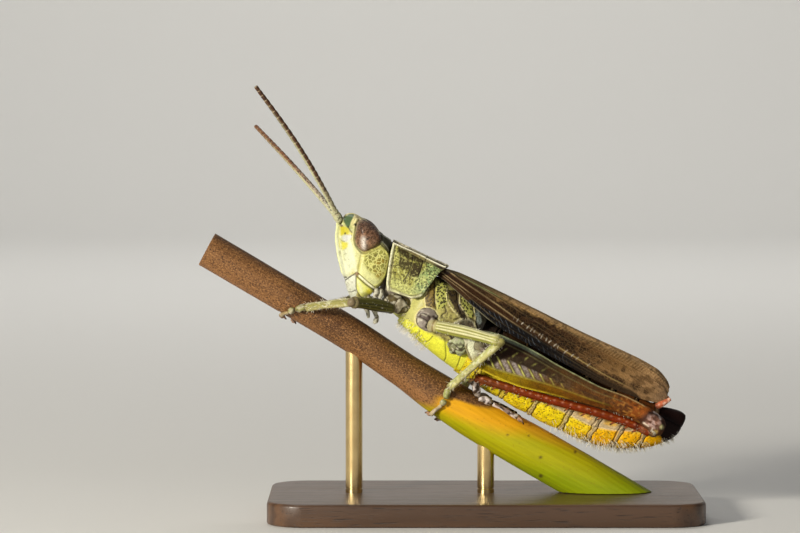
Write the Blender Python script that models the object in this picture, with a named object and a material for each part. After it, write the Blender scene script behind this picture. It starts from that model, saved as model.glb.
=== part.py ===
"""A slant-faced field grasshopper at life size, on a cut length of rush held by a small display stand.

The animal is laid out in its own frame, in millimetres: +X runs to the tail, -Y to its left side
and +Z up, with the middle of the pronotum's rear edge at the origin. The empty body_pose tips that
frame nose up, as the animal sits on the sloping stem, and lifts it over the stand.
"""

import math

import bmesh
import bpy
import numpy as np
from mathutils import Matrix, Vector

MM = 0.001
AHEAD, ACROSS, UP = Vector((-1, 0, 0)), Vector((0, 1, 0)), Vector((0, 0, 1))
GAP = 0.03  # clearance where two pieces meet
LIMB = 0.25  # half thickness of a slender leg part
FEELER = 0.25  # half thickness of an antenna
SHELL = 0.5  # thickness of a wing and of the pronotum

BODY_PITCH = math.radians(28)
BODY_HEIGHT = 10.25  # from the stand's underside to the pronotum

BASE_LENGTH = 18.0
BASE_BEHIND = 1.46  # how far its middle lies behind the pronotum's rear edge
BASE_DEPTH = 9.4
BASE_THICK = 0.95
BASE_CORNER = 1.6
BASE_EDGE = 0.12
ROD_RADIUS = 0.36
ROD_PLACES = {"stand_rod_front": -4.0, "stand_rod_rear": 1.5}

# Rush stem: distance along the body, height of its centre, radius.
STEM = (
    (-9.345, -3.98, 0.74),
    (-6.0, -4.13, 0.73),
    (-2.5, -4.31, 0.71),
    (0.0, -4.57, 0.73),
    (2.0, -4.80, 0.85),
    (4.0, -4.94, 0.93),
    (7.0, -5.02, 0.99),
    (13.5, -5.30, 1.00),
)
# Head: height, front, back, half width. The mouthparts take over below the jaw joint.
HEAD = (
    (0.25, -4.58, -4.00, 0.18),
    (0.19, -4.76, -3.45, 0.38),
    (0.02, -4.95, -2.85, 0.64),
    (-0.40, -5.08, -2.64, 0.92),
    (-0.90, -4.94, -2.60, 1.02),
    (-1.50, -4.57, -2.42, 1.10),
    (-2.05, -4.10, -2.32, 1.04),
)
MOUTH = (
    (-2.08, -4.07, -2.32, 1.02),
    (-2.50, -3.68, -2.42, 0.80),
    (-2.85, -3.32, -2.62, 0.52),
    (-3.00, -3.12, -2.78, 0.26),
)
EYE_CENTRE = (-3.70, -0.80, -0.38)
EYE_RADII = (0.56, 0.46, 0.68)
EYE_LEAN = math.radians(16)
EYE_TAPER = 0.16  # how much narrower its lower end is

# Prothorax, winged thorax, abdomen and its tip: distance along the body, top, bottom, half width.
PROTHORAX = (
    (-2.30, -0.62, -1.95, 0.40),
    (-1.90, -0.58, -2.30, 0.58),
    (-1.25, -0.55, -2.72, 0.68),
    (-0.98, -0.60, -2.78, 0.66),
)
THORAX = (
    (-0.94, -0.70, -2.92, 0.70),
    (-0.50, -0.50, -3.05, 1.06),
    (0.20, -0.40, -3.24, 1.28),
    (1.00, -0.42, -3.42, 1.32),
    (1.70, -0.55, -3.54, 1.18),
    (2.20, -0.70, -3.60, 1.06),
)
ABDOMEN = (
    (2.23, -1.06, -3.62, 1.02),
    (4.00, -1.16, -3.74, 1.10),
    (6.00, -1.20, -3.79, 1.06),
    (8.00, -1.16, -3.70, 0.98),
    (9.20, -1.12, -3.46, 0.92),
    (10.45, -0.96, -2.88, 0.78),
)
TIP = (
    (10.48, -0.96, -2.86, 0.76),
    (10.90, -0.78, -2.52, 0.68),
    (11.35, -0.72, -2.02, 0.50),
    (11.60, -0.92, -1.58, 0.28),
)
SEGMENTS = 8  # rings of the abdomen
SEGMENT_SWELL = 0.05

# Tegmen: distance along the body, ridge, lower edge, half width of the folded pair.
TEGMEN = (
    (-0.12, 0.00, -0.42, 0.92),
    (0.50, 0.12, -0.60, 1.12),
    (1.50, 0.17, -0.85, 1.26),
    (3.00, 0.22, -1.12, 1.26),
    (5.00, 0.28, -1.16, 1.16),
    (7.00, 0.37, -1.18, 1.02),
    (8.50, 0.46, -1.12, 0.86),
    (9.50, 0.42, -0.98, 0.72),
    (10.20, 0.15, -0.84, 0.56),
    (10.50, -0.22, -0.62, 0.42),
)
# Pronotum: place along it from front to rear, half width at the shoulder.
PRONOTUM_WIDTH = ((0.0, 1.06), (0.4, 1.10), (0.7, 1.16), (1.0, 1.26))
# Its front, rear and the lobe's lower margin, as height to distance or distance share to height.
PRONOTUM_FRONT = ((-1.95, -1.86), (-1.50, -2.13), (-1.00, -2.34), (-0.50, -2.49), (0.10, -2.62))
PRONOTUM_REAR = (
    (-1.95, -1.10),
    (-1.70, -0.82),
    (-1.45, -0.57),
    (-1.00, -0.50),
    (-0.30, -0.38),
    (0.10, -0.20),
)
PRONOTUM_HEM = ((0.0, -1.92), (0.5, -1.83), (1.0, -1.72))
PRONOTUM_TOP = ((0.0, 0.00), (0.5, 0.05), (1.0, 0.12))
# Half of its cross section from the keel to the hem: share of the half width, share of the height.
SADDLE = (
    (0.00, 1.00),
    (0.05, 0.965),
    (0.34, 0.945),
    (0.66, 0.935),
    (0.74, 0.965),
    (0.80, 0.90),
    (0.90, 0.76),
    (0.98, 0.54),
    (1.00, 0.32),
    (0.97, 0.00),
)
# Half of the folded forewings' cross section from the ridge to the lower edge.
ROOF = (
    (0.00, 1.00),
    (0.22, 0.99),
    (0.44, 0.94),
    (0.60, 0.83),
    (0.74, 0.66),
    (0.88, 0.42),
    (0.97, 0.18),
    (1.00, 0.00),
)

# Hind femur: distance along the body, upper edge, lower edge, half thickness, distance off the middle.
HIND_FEMUR = (
    (1.95, -1.78, -2.48, 0.26, 1.34),
    (2.40, -1.46, -2.82, 0.36, 1.48),
    (3.20, -1.27, -3.00, 0.44, 1.60),
    (4.50, -1.22, -2.90, 0.45, 1.62),
    (6.00, -1.27, -2.55, 0.41, 1.60),
    (7.50, -1.26, -2.20, 0.35, 1.55),
    (9.00, -1.09, -1.88, 0.29, 1.50),
    (9.70, -1.08, -1.80, 0.28, 1.48),
    (10.20, -1.14, -1.98, 0.34, 1.47),
    (10.65, -1.22, -2.02, 0.33, 1.46),
    (10.88, -1.42, -1.88, 0.20, 1.46),
)
# Hind shin, folded under the thigh: distance along the body, height, distance off the middle.
HIND_TIBIA = (
    (10.52, -2.30, 1.46),
    (9.60, -2.14, 1.46),
    (8.00, -2.40, 1.46),
    (6.00, -2.86, 1.42),
    (4.40, -3.20, 1.30),
    (2.95, -3.46, 1.06),
)


def smooth(keys, x, column=1):
    """Value at x of a smooth curve through the rows of keys, which does not overshoot them."""
    place = np.array([row[0] for row in keys], float)
    value = np.array([row[column] for row in keys], float)
    if place[0] > place[-1]:
        place, value = place[::-1], value[::-1]
    step = np.diff(place)
    rise = np.diff(value) / step
    slope = np.zeros(len(place))
    same = rise[:-1] * rise[1:] > 0
    slope[1:-1][same] = 2 * rise[:-1][same] * rise[1:][same] / (rise[:-1] + rise[1:])[same]
    slope[0], slope[-1] = rise[0], rise[-1]
    x = min(max(x, place[0]), place[-1])
    i = min(int(np.searchsorted(place, x, side="right")) - 1, len(step) - 1)
    t = (x - place[i]) / step[i]
    return float(
        value[i] * (2 * t**3 - 3 * t**2 + 1)
        + value[i + 1] * (3 * t**2 - 2 * t**3)
        + step[i] * slope[i] * (t**3 - 2 * t**2 + t)
        + step[i] * slope[i + 1] * (t**3 - t**2)
    )


def finish(name):
    """Named finish for each kind of surface."""
    colour, roughness, metallic = FINISHES[name]
    material = bpy.data.materials.get(name)
    if material is None:
        material = bpy.data.materials.new(name)
        material.use_nodes = True
        shader = material.node_tree.nodes["Principled BSDF"]
        shader.inputs["Base Color"].default_value = (*colour, 1)
        shader.inputs["Roughness"].default_value = roughness
        shader.inputs["Metallic"].default_value = metallic
    return material


FINISHES = {
    "head_green": ((0.52, 0.60, 0.20), 0.45, 0.0),
    "eye_brown": ((0.22, 0.09, 0.06), 0.25, 0.0),
    "feeler_brown": ((0.20, 0.11, 0.06), 0.55, 0.0),
    "pronotum_green": ((0.30, 0.38, 0.12), 0.5, 0.0),
    "thorax_yellow": ((0.56, 0.58, 0.10), 0.5, 0.0),
    "abdomen_yellow": ((0.75, 0.58, 0.05), 0.45, 0.0),
    "tip_black": ((0.03, 0.02, 0.015), 0.35, 0.0),
    "wing_brown": ((0.16, 0.09, 0.05), 0.55, 0.0),
    "leg_green": ((0.48, 0.50, 0.22), 0.5, 0.0),
    "thigh_brown": ((0.25, 0.17, 0.07), 0.45, 0.0),
    "shin_red": ((0.38, 0.07, 0.02), 0.4, 0.0),
    "stem_brown": ((0.30, 0.15, 0.06), 0.6, 0.0),
    "base_wood": ((0.10, 0.055, 0.03), 0.4, 0.0),
    "rod_brass": ((0.62, 0.46, 0.20), 0.3, 1.0),
}


def add_object(name, points, faces, look, parent=None):
    """Object from points in millimetres, its faces turned outwards."""
    mesh = bpy.data.meshes.new(name)
    mesh.from_pydata([Vector(p) * MM for p in points], [], faces)
    work = bmesh.new()
    work.from_mesh(mesh)
    bmesh.ops.recalc_face_normals(work, faces=work.faces)
    work.to_mesh(mesh)
    work.free()
    mesh.shade_smooth()
    mesh.set_sharp_from_angle(angle=math.radians(50))
    mesh.materials.append(finish(look))
    made = bpy.data.objects.new(name, mesh)
    made.parent = parent
    bpy.context.scene.collection.objects.link(made)
    return made


def ring(centre, side, up, width, above, below, sides, power=2.0):
    """Closed oval of points about centre, with its own reach to the side, above and below."""
    points = []
    for k in range(sides):
        turn = math.tau * (k + 0.5) / sides
        across, rise = math.cos(turn), math.sin(turn)
        across = math.copysign(abs(across) ** (2 / power), across) * width
        rise = math.copysign(abs(rise) ** (2 / power), rise) * (above if rise > 0 else below)
        points.append(centre + side * across + up * rise)
    return points


def loft(name, rings, look, parent):
    """Closed skin through rings of equally many points, with a flat face at each end."""
    sides = len(rings[0])
    points = [p for each in rings for p in each]
    faces = [list(range(sides)), list(range(len(points) - sides, len(points)))]
    for r in range(len(rings) - 1):
        for k in range(sides):
            near, far = r * sides, (r + 1) * sides
            nxt = (k + 1) % sides
            faces.append((near + k, near + nxt, far + nxt, far + k))
    return add_object(name, points, faces, look, parent)


def plate(name, outer, inner, look, parent):
    """Closed shell between two equal grids of points."""
    rows, columns = len(outer), len(outer[0])
    points = [p for row in outer for p in row] + [p for row in inner for p in row]
    back = rows * columns
    faces = []
    for r in range(rows - 1):
        for c in range(columns - 1):
            a = r * columns + c
            quad = (a, a + 1, a + columns + 1, a + columns)
            faces.append(quad)
            faces.append(tuple(back + v for v in reversed(quad)))
    rim = [c for c in range(columns)]
    rim += [r * columns + columns - 1 for r in range(1, rows)]
    rim += [(rows - 1) * columns + c for c in range(columns - 2, -1, -1)]
    rim += [r * columns for r in range(rows - 2, 0, -1)]
    for a, b in zip(rim, rim[1:] + rim[:1]):
        faces.append((b, a, back + a, back + b))
    return add_object(name, points, faces, look, parent)


def mirrored(keys, side):
    """A point given for the left side, on the side asked for: -1 left, 1 right."""
    return Vector((keys[0], -side * keys[1], keys[2]))


def subtract(piece, cutter):
    """Takes the hidden cutter away from piece."""
    cutter.hide_render = True
    cutter.display_type = "WIRE"
    cut = piece.modifiers.new(f"without {cutter.name}", "BOOLEAN")
    cut.operation = "DIFFERENCE"
    cut.solver = "EXACT"
    cut.object = cutter


def keep_clear(piece, *neighbours, gap=GAP):
    """Cuts piece back by gap from its neighbours, with swollen hidden copies of them."""
    for neighbour in neighbours:
        swollen = neighbour.data.copy()
        work = bmesh.new()
        work.from_mesh(swollen)
        work.normal_update()
        for vertex in work.verts:
            vertex.co += vertex.normal * vertex.calc_shell_factor() * gap * MM
        work.to_mesh(swollen)
        work.free()
        cutter = bpy.data.objects.new(f"cutter_{piece.name}_{neighbour.name}", swollen)
        cutter.parent = neighbour.parent
        bpy.context.scene.collection.objects.link(cutter)
        subtract(piece, cutter)


def spread(first, last, count):
    """Count places from first to last."""
    return [first + (last - first) * k / (count - 1) for k in range(count)]


def trunk_part(name, keys, look, parent, sections, sides, power=2.2, swell=None):
    """Part of the body as rings along its length."""
    rings = []
    for x in spread(keys[0][0], keys[-1][0], sections):
        top, bottom, width = (smooth(keys, x, column) for column in (1, 2, 3))
        fuller = swell(x) if swell else 0.0
        centre = Vector((x, 0, (top + bottom) / 2))
        half = (top - bottom) / 2 + fuller
        rings.append(ring(centre, ACROSS, UP, width + fuller, half, half, sides, power))
    return loft(name, rings, look, parent)


def skull_part(name, keys, look, parent, sections, sides=18):
    """Part of the head as level slices, narrower in front than behind."""
    rings = []
    for z in spread(keys[0][0], keys[-1][0], sections):
        front, back, width = (smooth(keys, z, column) for column in (1, 2, 3))
        waist = front + (back - front) * 0.62
        centre = Vector((waist, 0, z))
        rings.append(ring(centre, ACROSS, AHEAD, width, waist - front, back - waist, sides))
    return loft(name, rings, look, parent)


def ellipsoid(name, centre, radii, look, parent, lean=0.0, segments=14, rings=9, taper=0.0):
    """Oval solid, leaning in the plane of symmetry and narrower below by taper."""
    mesh = bpy.data.meshes.new(name)
    work = bmesh.new()
    bmesh.ops.create_uvsphere(work, u_segments=segments, v_segments=rings, radius=1)
    for vertex in work.verts:
        vertex.co.x *= 1 + taper * vertex.co.z
    place = Matrix.Translation(Vector(centre) * MM) @ Matrix.Rotation(-lean, 4, "Y")
    size = Matrix.Diagonal((*[r * MM for r in radii], 1))
    bmesh.ops.transform(work, matrix=place @ size, verts=work.verts)
    work.to_mesh(mesh)
    work.free()
    mesh.shade_smooth()
    mesh.materials.append(finish(look))
    made = bpy.data.objects.new(name, mesh)
    made.parent = parent
    bpy.context.scene.collection.objects.link(made)
    return made


def bent_limb(name, path, radii, look, parent, sides=8, per_span=2):
    """Round limb along a smooth path, with a radius at each of its points and domed ends."""
    stops = list(range(len(path)))
    count = (len(path) - 1) * per_span + 1
    marks = spread(0, len(path) - 1, count)
    line, thick = [], []
    for t in marks:
        line.append(Vector([smooth([(s, path[s][axis]) for s in stops], t) for axis in range(3)]))
        thick.append(smooth([(s, radii[s]) for s in stops], t))
    heading = [(line[min(i + 1, count - 1)] - line[max(i - 1, 0)]).normalized() for i in range(count)]
    side = heading[0].cross(Vector((0, 0, 1)))
    if side.length < 0.2:
        side = heading[0].cross(Vector((0, 1, 0)))
    side.normalize()
    dome = 0.55
    line = [line[0] - heading[0] * thick[0] * dome, *line, line[-1] + heading[-1] * thick[-1] * dome]
    thick = [thick[0] * 0.5, *thick, thick[-1] * 0.5]
    heading = [heading[0], *heading, heading[-1]]
    rings = []
    for point, radius, ahead in zip(line, thick, heading):
        side = (side - ahead * side.dot(ahead)).normalized()
        rings.append(ring(point, side, ahead.cross(side), radius, radius, radius, sides))
    return loft(name, rings, look, parent)


def stem_surface(x, turn, above):
    """Point over the stem's skin: turn is 0 on its crest and grows towards the animal's left side."""
    reach = smooth(STEM, x, 2) + above
    return Vector((x, -reach * math.sin(turn), smooth(STEM, x) + reach * math.cos(turn)))


def make_head(parent):
    head = skull_part("head", HEAD, "head_green", parent, 12)
    mouth = skull_part("mouthparts", MOUTH, "head_green", parent, 7)
    keep_clear(mouth, head)
    for label, side in (("left", -1), ("right", 1)):
        centre = mirrored(EYE_CENTRE, side)
        look = "eye_brown"
        eye = ellipsoid(f"eye_{label}", centre, EYE_RADII, look, parent, EYE_LEAN, taper=EYE_TAPER)
        keep_clear(head, eye)
    return head, mouth


def make_antennae(parent, head):
    roots = {"left": (-5.00, -0.22, -0.36), "right": (-5.00, 0.22, -0.36)}
    tips = {"left": (-10.66, -1.50, 2.98), "right": (-10.05, 4.20, 1.36)}
    bend = {"left": (0.09, 0.0, 0.15), "right": (0.04, -0.2, 0.06)}
    for label in ("left", "right"):
        root, tip, bow = Vector(roots[label]), Vector(tips[label]), Vector(bend[label])
        path = [root.lerp(tip, t) + bow * math.sin(math.pi * t) for t in (0.0, 0.15, 0.4, 0.7, 1.0)]
        radii = (FEELER, FEELER, FEELER, FEELER, 0.8 * FEELER)
        feeler = bent_limb(f"antenna_{label}", path, radii, "feeler_brown", parent, sides=7, per_span=2)
        keep_clear(feeler, head)


def make_palps(parent, mouth, prothorax):
    for label, side in (("left", -1), ("right", 1)):
        path = [
            Vector((-2.60, side * 0.55, -2.62)),
            Vector((-2.30, side * 0.72, -2.95)),
            Vector((-2.02, side * 0.66, -3.12)),
        ]
        palp = bent_limb(f"palp_{label}", path, (0.2, 0.22, 0.22), "head_green", parent, sides=7)
        keep_clear(palp, mouth, prothorax)


def make_pronotum(parent):
    """Saddle over the front of the thorax: a flat disc with lobes down both sides."""
    rows = 9
    half = len(SADDLE) - 1
    outer, inner = [], []
    for share in spread(0, 1, rows):
        width = smooth(PRONOTUM_WIDTH, share)
        top, hem = smooth(PRONOTUM_TOP, share), smooth(PRONOTUM_HEM, share)
        for grid, inset in ((outer, 0.0), (inner, SHELL)):
            row = []
            for k in range(-half, half + 1):
                across, rise = SADDLE[abs(k)]
                y = math.copysign(across, k) * (width - inset)
                z = hem + rise * (top - inset - hem)
                front, rear = smooth(PRONOTUM_FRONT, z), smooth(PRONOTUM_REAR, z)
                row.append(Vector((front + share * (rear - front), y, z)))
            grid.append(row)
    return plate("pronotum", outer, inner, "pronotum_green", parent)


def make_wings(parent):
    """Two stiff forewings folded as a roof, meeting along the ridge."""
    rows = 12
    wings = []
    for label, side in (("left", -1), ("right", 1)):
        outer, inner = [], []
        for x in spread(TEGMEN[0][0], TEGMEN[-1][0], rows):
            ridge, edge, width = (smooth(TEGMEN, x, column) for column in (1, 2, 3))
            for grid, inset in ((outer, 0.0), (inner, SHELL)):
                reach = max(width - inset, 0.06)
                fall = max(ridge - inset - edge, 0.02)
                row = []
                for across, rise in ROOF:
                    y = GAP / 2 + across * (reach - GAP / 2)
                    row.append(Vector((x, side * y, edge + rise * fall)))
                grid.append(row)
        wings.append(plate(f"forewing_{label}", outer, inner, "wing_brown", parent))
    return wings


def wing_space(parent):
    """Room taken by the folded wings over the thorax, as one hidden block."""
    rings = []
    for x in spread(-0.5, 3.5, 13):
        ridge, edge, width = (smooth(TEGMEN, x, column) for column in (1, 2, 3))
        side = [((width + GAP) * across, edge + rise * (ridge + GAP - edge)) for across, rise in ROOF]
        low = side[-1][0], edge - GAP
        outline = [(-y, z) for y, z in [low, *reversed(side)]] + [*side[1:], low]
        rings.append([Vector((x, y, z)) for y, z in outline])
    return loft("cutter_wings", rings, "wing_brown", parent)


def make_trunk(parent, pronotum, wings):
    prothorax = trunk_part("prothorax", PROTHORAX, "thorax_yellow", parent, 8, 16)
    thorax = trunk_part("thorax", THORAX, "thorax_yellow", parent, 9, 20, power=2.5)
    length = ABDOMEN[-1][0] - ABDOMEN[0][0]

    def rounded(x):
        share = (x - ABDOMEN[0][0]) / length * SEGMENTS % 1
        return SEGMENT_SWELL * (math.sin(math.pi * share) - 0.5)

    rings = 3 * SEGMENTS + 1
    abdomen = trunk_part("abdomen", ABDOMEN, "abdomen_yellow", parent, rings, 12, 2.0, rounded)
    tip = trunk_part("abdomen_tip", TIP, "tip_black", parent, 6, 16, 2.0)
    keep_clear(prothorax, pronotum)
    keep_clear(thorax, pronotum, prothorax)
    subtract(thorax, wing_space(parent))
    for label, side in (("left", -1), ("right", 1)):
        path = [Vector((10.35, side * 0.42, -0.95)), Vector((10.60, side * 0.48, -0.55))]
        cercus = bent_limb(f"cercus_{label}", path, (0.2, 0.12), "shin_red", parent, sides=7)
        keep_clear(cercus, tip, abdomen, *wings)
    return prothorax, thorax, abdomen, tip


def make_stem(parent, base_top):
    """Cut length of rush, sliced level where it stands on the base."""
    rings = []
    for x in spread(STEM[0][0], STEM[-1][0], 16):
        centre = Vector((x, 0, smooth(STEM, x)))
        radius = smooth(STEM, x, 2)
        rings.append(ring(centre, ACROSS, UP, radius, radius, radius, 14))
    stem = loft("perch_stem", rings, "stem_brown", parent)
    low = base_top + GAP
    block = [(x, y, z) for x in (-30, 30) for y in (-30, 30) for z in (low - 20, low)]
    faces = [(0, 1, 3, 2), (4, 6, 7, 5), (0, 4, 5, 1), (2, 3, 7, 6), (0, 2, 6, 4), (1, 5, 7, 3)]
    floor = add_object("cutter_floor", block, faces, "base_wood")
    subtract(stem, floor)
    return stem


def make_front_leg(parent, label, side, prothorax, thorax, stem):
    """Fore leg: the knee stands out ahead and the foot holds the stem's flank."""
    knee = {"left": (-3.02, 2.75, -2.94), "right": (-3.15, 2.35, -3.30)}[label]
    ankle_x, claw_x = {"left": (-4.55, -5.20), "right": (-4.05, -4.70)}[label]
    root = mirrored((-1.28, -0.72, -2.42), side)
    coxa = ellipsoid(f"coxa_front_{label}", root, (0.36, 0.34, 0.42), "leg_green", parent, 0.3, 12, 8)
    knee_at = mirrored((knee[0], -knee[1], knee[2]), side)
    hip = mirrored((-1.42, -0.92, -2.50), side)
    thigh = [hip, hip.lerp(knee_at, 0.45), knee_at]
    femur = bent_limb(f"femur_front_{label}", thigh, (0.27, 0.28, LIMB), "leg_green", parent)
    ankle = on_stem(ankle_x, 78, 0.34, side)
    shin = [knee_at, knee_at.lerp(ankle, 0.5), ankle]
    tibia = bent_limb(f"tibia_front_{label}", shin, (LIMB,) * 3, "leg_green", parent)
    toes = [ankle, on_stem((ankle_x + claw_x) / 2, 100, 0.27, side), on_stem(claw_x, 145, 0.28, side)]
    tarsus = bent_limb(f"tarsus_front_{label}", toes, (LIMB,) * 3, "leg_green", parent)
    keep_clear(coxa, prothorax, thorax)
    keep_clear(femur, coxa, prothorax)
    keep_clear(tibia, femur)
    keep_clear(tarsus, tibia, stem)


def on_stem(x, degrees, above, side):
    """Point over the stem on the side asked for, degrees down from its crest."""
    point = stem_surface(x, math.radians(degrees), above)
    point.y *= -side
    return point


def make_middle_leg(parent, label, side, thorax, stem):
    """Middle leg: the knee stands out beside the body and the foot reaches under the stem."""
    knee = {"left": (3.10, -2.85, -1.47), "right": (3.00, -2.85, -1.80)}[label]
    ankle_x, claw_x = {"left": (2.32, 2.12), "right": (2.85, 2.48)}[label]
    root = mirrored((0.10, -1.14, -2.22), side)
    coxa = ellipsoid(f"coxa_middle_{label}", root, (0.46, 0.36, 0.44), "leg_green", parent, 0.2, 12, 8)
    knee_at = mirrored(knee, side)
    hip = mirrored((0.42, -1.40, -2.32), side)
    thigh = [hip, hip.lerp(knee_at, 0.5), knee_at]
    femur = bent_limb(f"femur_middle_{label}", thigh, (LIMB, 0.26, LIMB), "leg_green", parent)
    ankle = on_stem(ankle_x, 66, 0.34, side)
    shin = [knee_at, knee_at.lerp(ankle, 0.5), ankle]
    tibia = bent_limb(f"tibia_middle_{label}", shin, (LIMB,) * 3, "leg_green", parent)
    toes = [ankle, on_stem((ankle_x + claw_x) / 2, 105, 0.27, side), on_stem(claw_x, 165, 0.28, side)]
    tarsus = bent_limb(f"tarsus_middle_{label}", toes, (LIMB,) * 3, "leg_green", parent)
    keep_clear(coxa, thorax)
    keep_clear(femur, coxa, thorax)
    keep_clear(tibia, femur)
    keep_clear(tarsus, tibia, stem)


def make_hind_leg(parent, label, side, thorax, abdomen, stem):
    """Jumping leg, folded: the shin lies along the thigh and the foot along the stem."""
    root = mirrored((1.78, -1.05, -2.66), side)
    coxa = ellipsoid(f"coxa_hind_{label}", root, (0.46, 0.30, 0.46), "leg_green", parent, -0.3, 12, 8)
    rings = []
    for x in spread(HIND_FEMUR[0][0], HIND_FEMUR[-1][0], 16):
        upper, lower, thick, away = (smooth(HIND_FEMUR, x, column) for column in (1, 2, 3, 4))
        centre = Vector((x, side * away, (upper + lower) / 2))
        half = (upper - lower) / 2
        rings.append(ring(centre, ACROSS, UP, thick, half, half, 10, 1.8))
    femur = loft(f"femur_hind_{label}", rings, "thigh_brown", parent)
    shin = [mirrored((x, -away, z), side) for x, z, away in HIND_TIBIA]
    tibia = bent_limb(f"tibia_hind_{label}", shin, (LIMB,) * 6, "shin_red", parent, per_span=2)
    ankle = mirrored((2.92, -1.0, -3.60), side)
    grips = ((3.40, 44, 0.30), (4.40, 38, 0.29), (5.45, 38, 0.27))
    toes = [ankle, *[on_stem(x, degrees, above, side) for x, degrees, above in grips]]
    tarsus = bent_limb(f"tarsus_hind_{label}", toes, (LIMB, LIMB, LIMB, 0.22), "leg_green", parent)
    keep_clear(coxa, thorax)
    keep_clear(femur, coxa, thorax, abdomen)
    keep_clear(tibia, femur)
    keep_clear(tarsus, tibia, stem, abdomen)


def make_stand(stem, base_top):
    """Flat base with rounded corners, and two rods that carry the stem."""
    corner_steps = 5
    middle = BASE_BEHIND
    outline = []
    for cx, cy, start in ((1, 1, 0), (-1, 1, 90), (-1, -1, 180), (1, -1, 270)):
        for k in range(corner_steps + 1):
            turn = math.radians(start + 90 * k / corner_steps)
            x = middle + cx * (BASE_LENGTH / 2 - BASE_CORNER) + BASE_CORNER * math.cos(turn)
            y = cy * (BASE_DEPTH / 2 - BASE_CORNER) + BASE_CORNER * math.sin(turn)
            outline.append((x, y))
    rings = []
    for z, inset in ((0, 0), (BASE_THICK - BASE_EDGE, 0), (BASE_THICK, BASE_EDGE)):
        narrow, shallow = 1 - 2 * inset / BASE_LENGTH, 1 - 2 * inset / BASE_DEPTH
        rings.append([Vector((middle + (x - middle) * narrow, y * shallow, z)) for x, y in outline])
    loft("stand_base", rings, "base_wood", None)
    for name, x in ROD_PLACES.items():
        rings = []
        for z in (base_top + GAP, base_top + 9.0):
            rings.append(ring(Vector((x, 0, z)), AHEAD, ACROSS, ROD_RADIUS, ROD_RADIUS, ROD_RADIUS, 14))
        rod = loft(name, rings, "rod_brass", None)
        keep_below(rod, stem)


def keep_below(rod, stem):
    """Cuts a rod off under the stem, with a swollen copy of the stem drawn out upwards."""
    rings = []
    sides = 16
    for x in spread(STEM[0][0] - 1, STEM[-1][0], 24):
        radius = smooth(STEM, x, 2) + GAP
        centre = Vector((x, 0, smooth(STEM, x)))
        under = []
        for k in range(sides + 1):
            turn = math.pi + math.pi * k / sides
            under.append(centre + Vector((0, math.cos(turn) * radius, math.sin(turn) * radius)))
        far = 25.0
        under += [centre + Vector((0, radius, far)), centre + Vector((0, -radius, far))]
        rings.append(under)
    cutter = loft(f"cutter_{rod.name}", rings, "stem_brown", stem.parent)
    subtract(rod, cutter)


def main():
    for old in list(bpy.data.objects):
        bpy.data.objects.remove(old, do_unlink=True)
    pose = bpy.data.objects.new("body_pose", None)
    pose.location = Vector((0, 0, BODY_HEIGHT)) * MM
    pose.rotation_euler = (0, BODY_PITCH, 0)
    bpy.context.scene.collection.objects.link(pose)

    head, mouth = make_head(pose)
    make_antennae(pose, head)
    pronotum = make_pronotum(pose)
    wings = make_wings(pose)
    prothorax, thorax, abdomen, tip = make_trunk(pose, pronotum, wings)
    keep_clear(head, pronotum)
    make_palps(pose, mouth, prothorax)
    stem = make_stem(pose, BASE_THICK)
    for label, side in (("left", -1), ("right", 1)):
        make_front_leg(pose, label, side, prothorax, thorax, stem)
        make_middle_leg(pose, label, side, thorax, stem)
        make_hind_leg(pose, label, side, thorax, abdomen, stem)
    make_stand(stem, BASE_THICK)


main()
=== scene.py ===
"""A life-size museum model of a slant-faced field grasshopper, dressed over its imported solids."""

import itertools
import math

import bmesh
import bpy
import mathutils
import numpy as np
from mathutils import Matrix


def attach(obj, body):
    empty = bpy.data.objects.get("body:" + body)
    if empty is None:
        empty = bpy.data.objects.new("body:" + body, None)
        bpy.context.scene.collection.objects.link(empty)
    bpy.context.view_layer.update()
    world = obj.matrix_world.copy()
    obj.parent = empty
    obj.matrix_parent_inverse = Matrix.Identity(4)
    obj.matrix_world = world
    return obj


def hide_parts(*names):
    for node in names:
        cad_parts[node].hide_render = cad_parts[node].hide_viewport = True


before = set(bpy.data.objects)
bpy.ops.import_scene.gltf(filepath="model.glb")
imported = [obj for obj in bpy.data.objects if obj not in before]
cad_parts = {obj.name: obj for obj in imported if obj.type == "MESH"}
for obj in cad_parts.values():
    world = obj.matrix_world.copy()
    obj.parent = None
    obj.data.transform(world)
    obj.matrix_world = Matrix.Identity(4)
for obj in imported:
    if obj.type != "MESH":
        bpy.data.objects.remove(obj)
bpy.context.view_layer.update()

# Display base. A flat slab of dark oiled hardwood, its corners rounded and its edges eased with a
# plane. The insect model stands on it by two rods and the foot of the plant stem.
MM = 0.001
BASE = dict(length=18.0, depth=9.4, thick=0.95, corner=1.6, ease=0.14, behind=1.46)
WALNUT = ((0.05, 0.024, 0.012), (0.135, 0.066, 0.03), (0.018, 0.009, 0.006))


class Value:
    """One socket of a material. Python's operators on it add Math nodes."""

    def __init__(self, finish, socket):
        self.finish, self.socket = finish, socket

    def math(self, operation, *terms, clamp=False):
        return self.finish.node("Math", dict(operation=operation, use_clamp=clamp), dict(enumerate(terms)))

    def __add__(self, other):
        return self.math("ADD", self, other)

    def __sub__(self, other):
        return self.math("SUBTRACT", self, other)

    def __rsub__(self, other):
        return self.math("SUBTRACT", other, self)

    def __mul__(self, other):
        return self.math("MULTIPLY", self, other)

    __radd__, __rmul__ = __add__, __mul__

    def between(self, low, high):
        """0 at low, 1 at high, clamped."""
        return self.math("MULTIPLY_ADD", self, 1 / (high - low), -low / (high - low), clamp=True)


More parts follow.
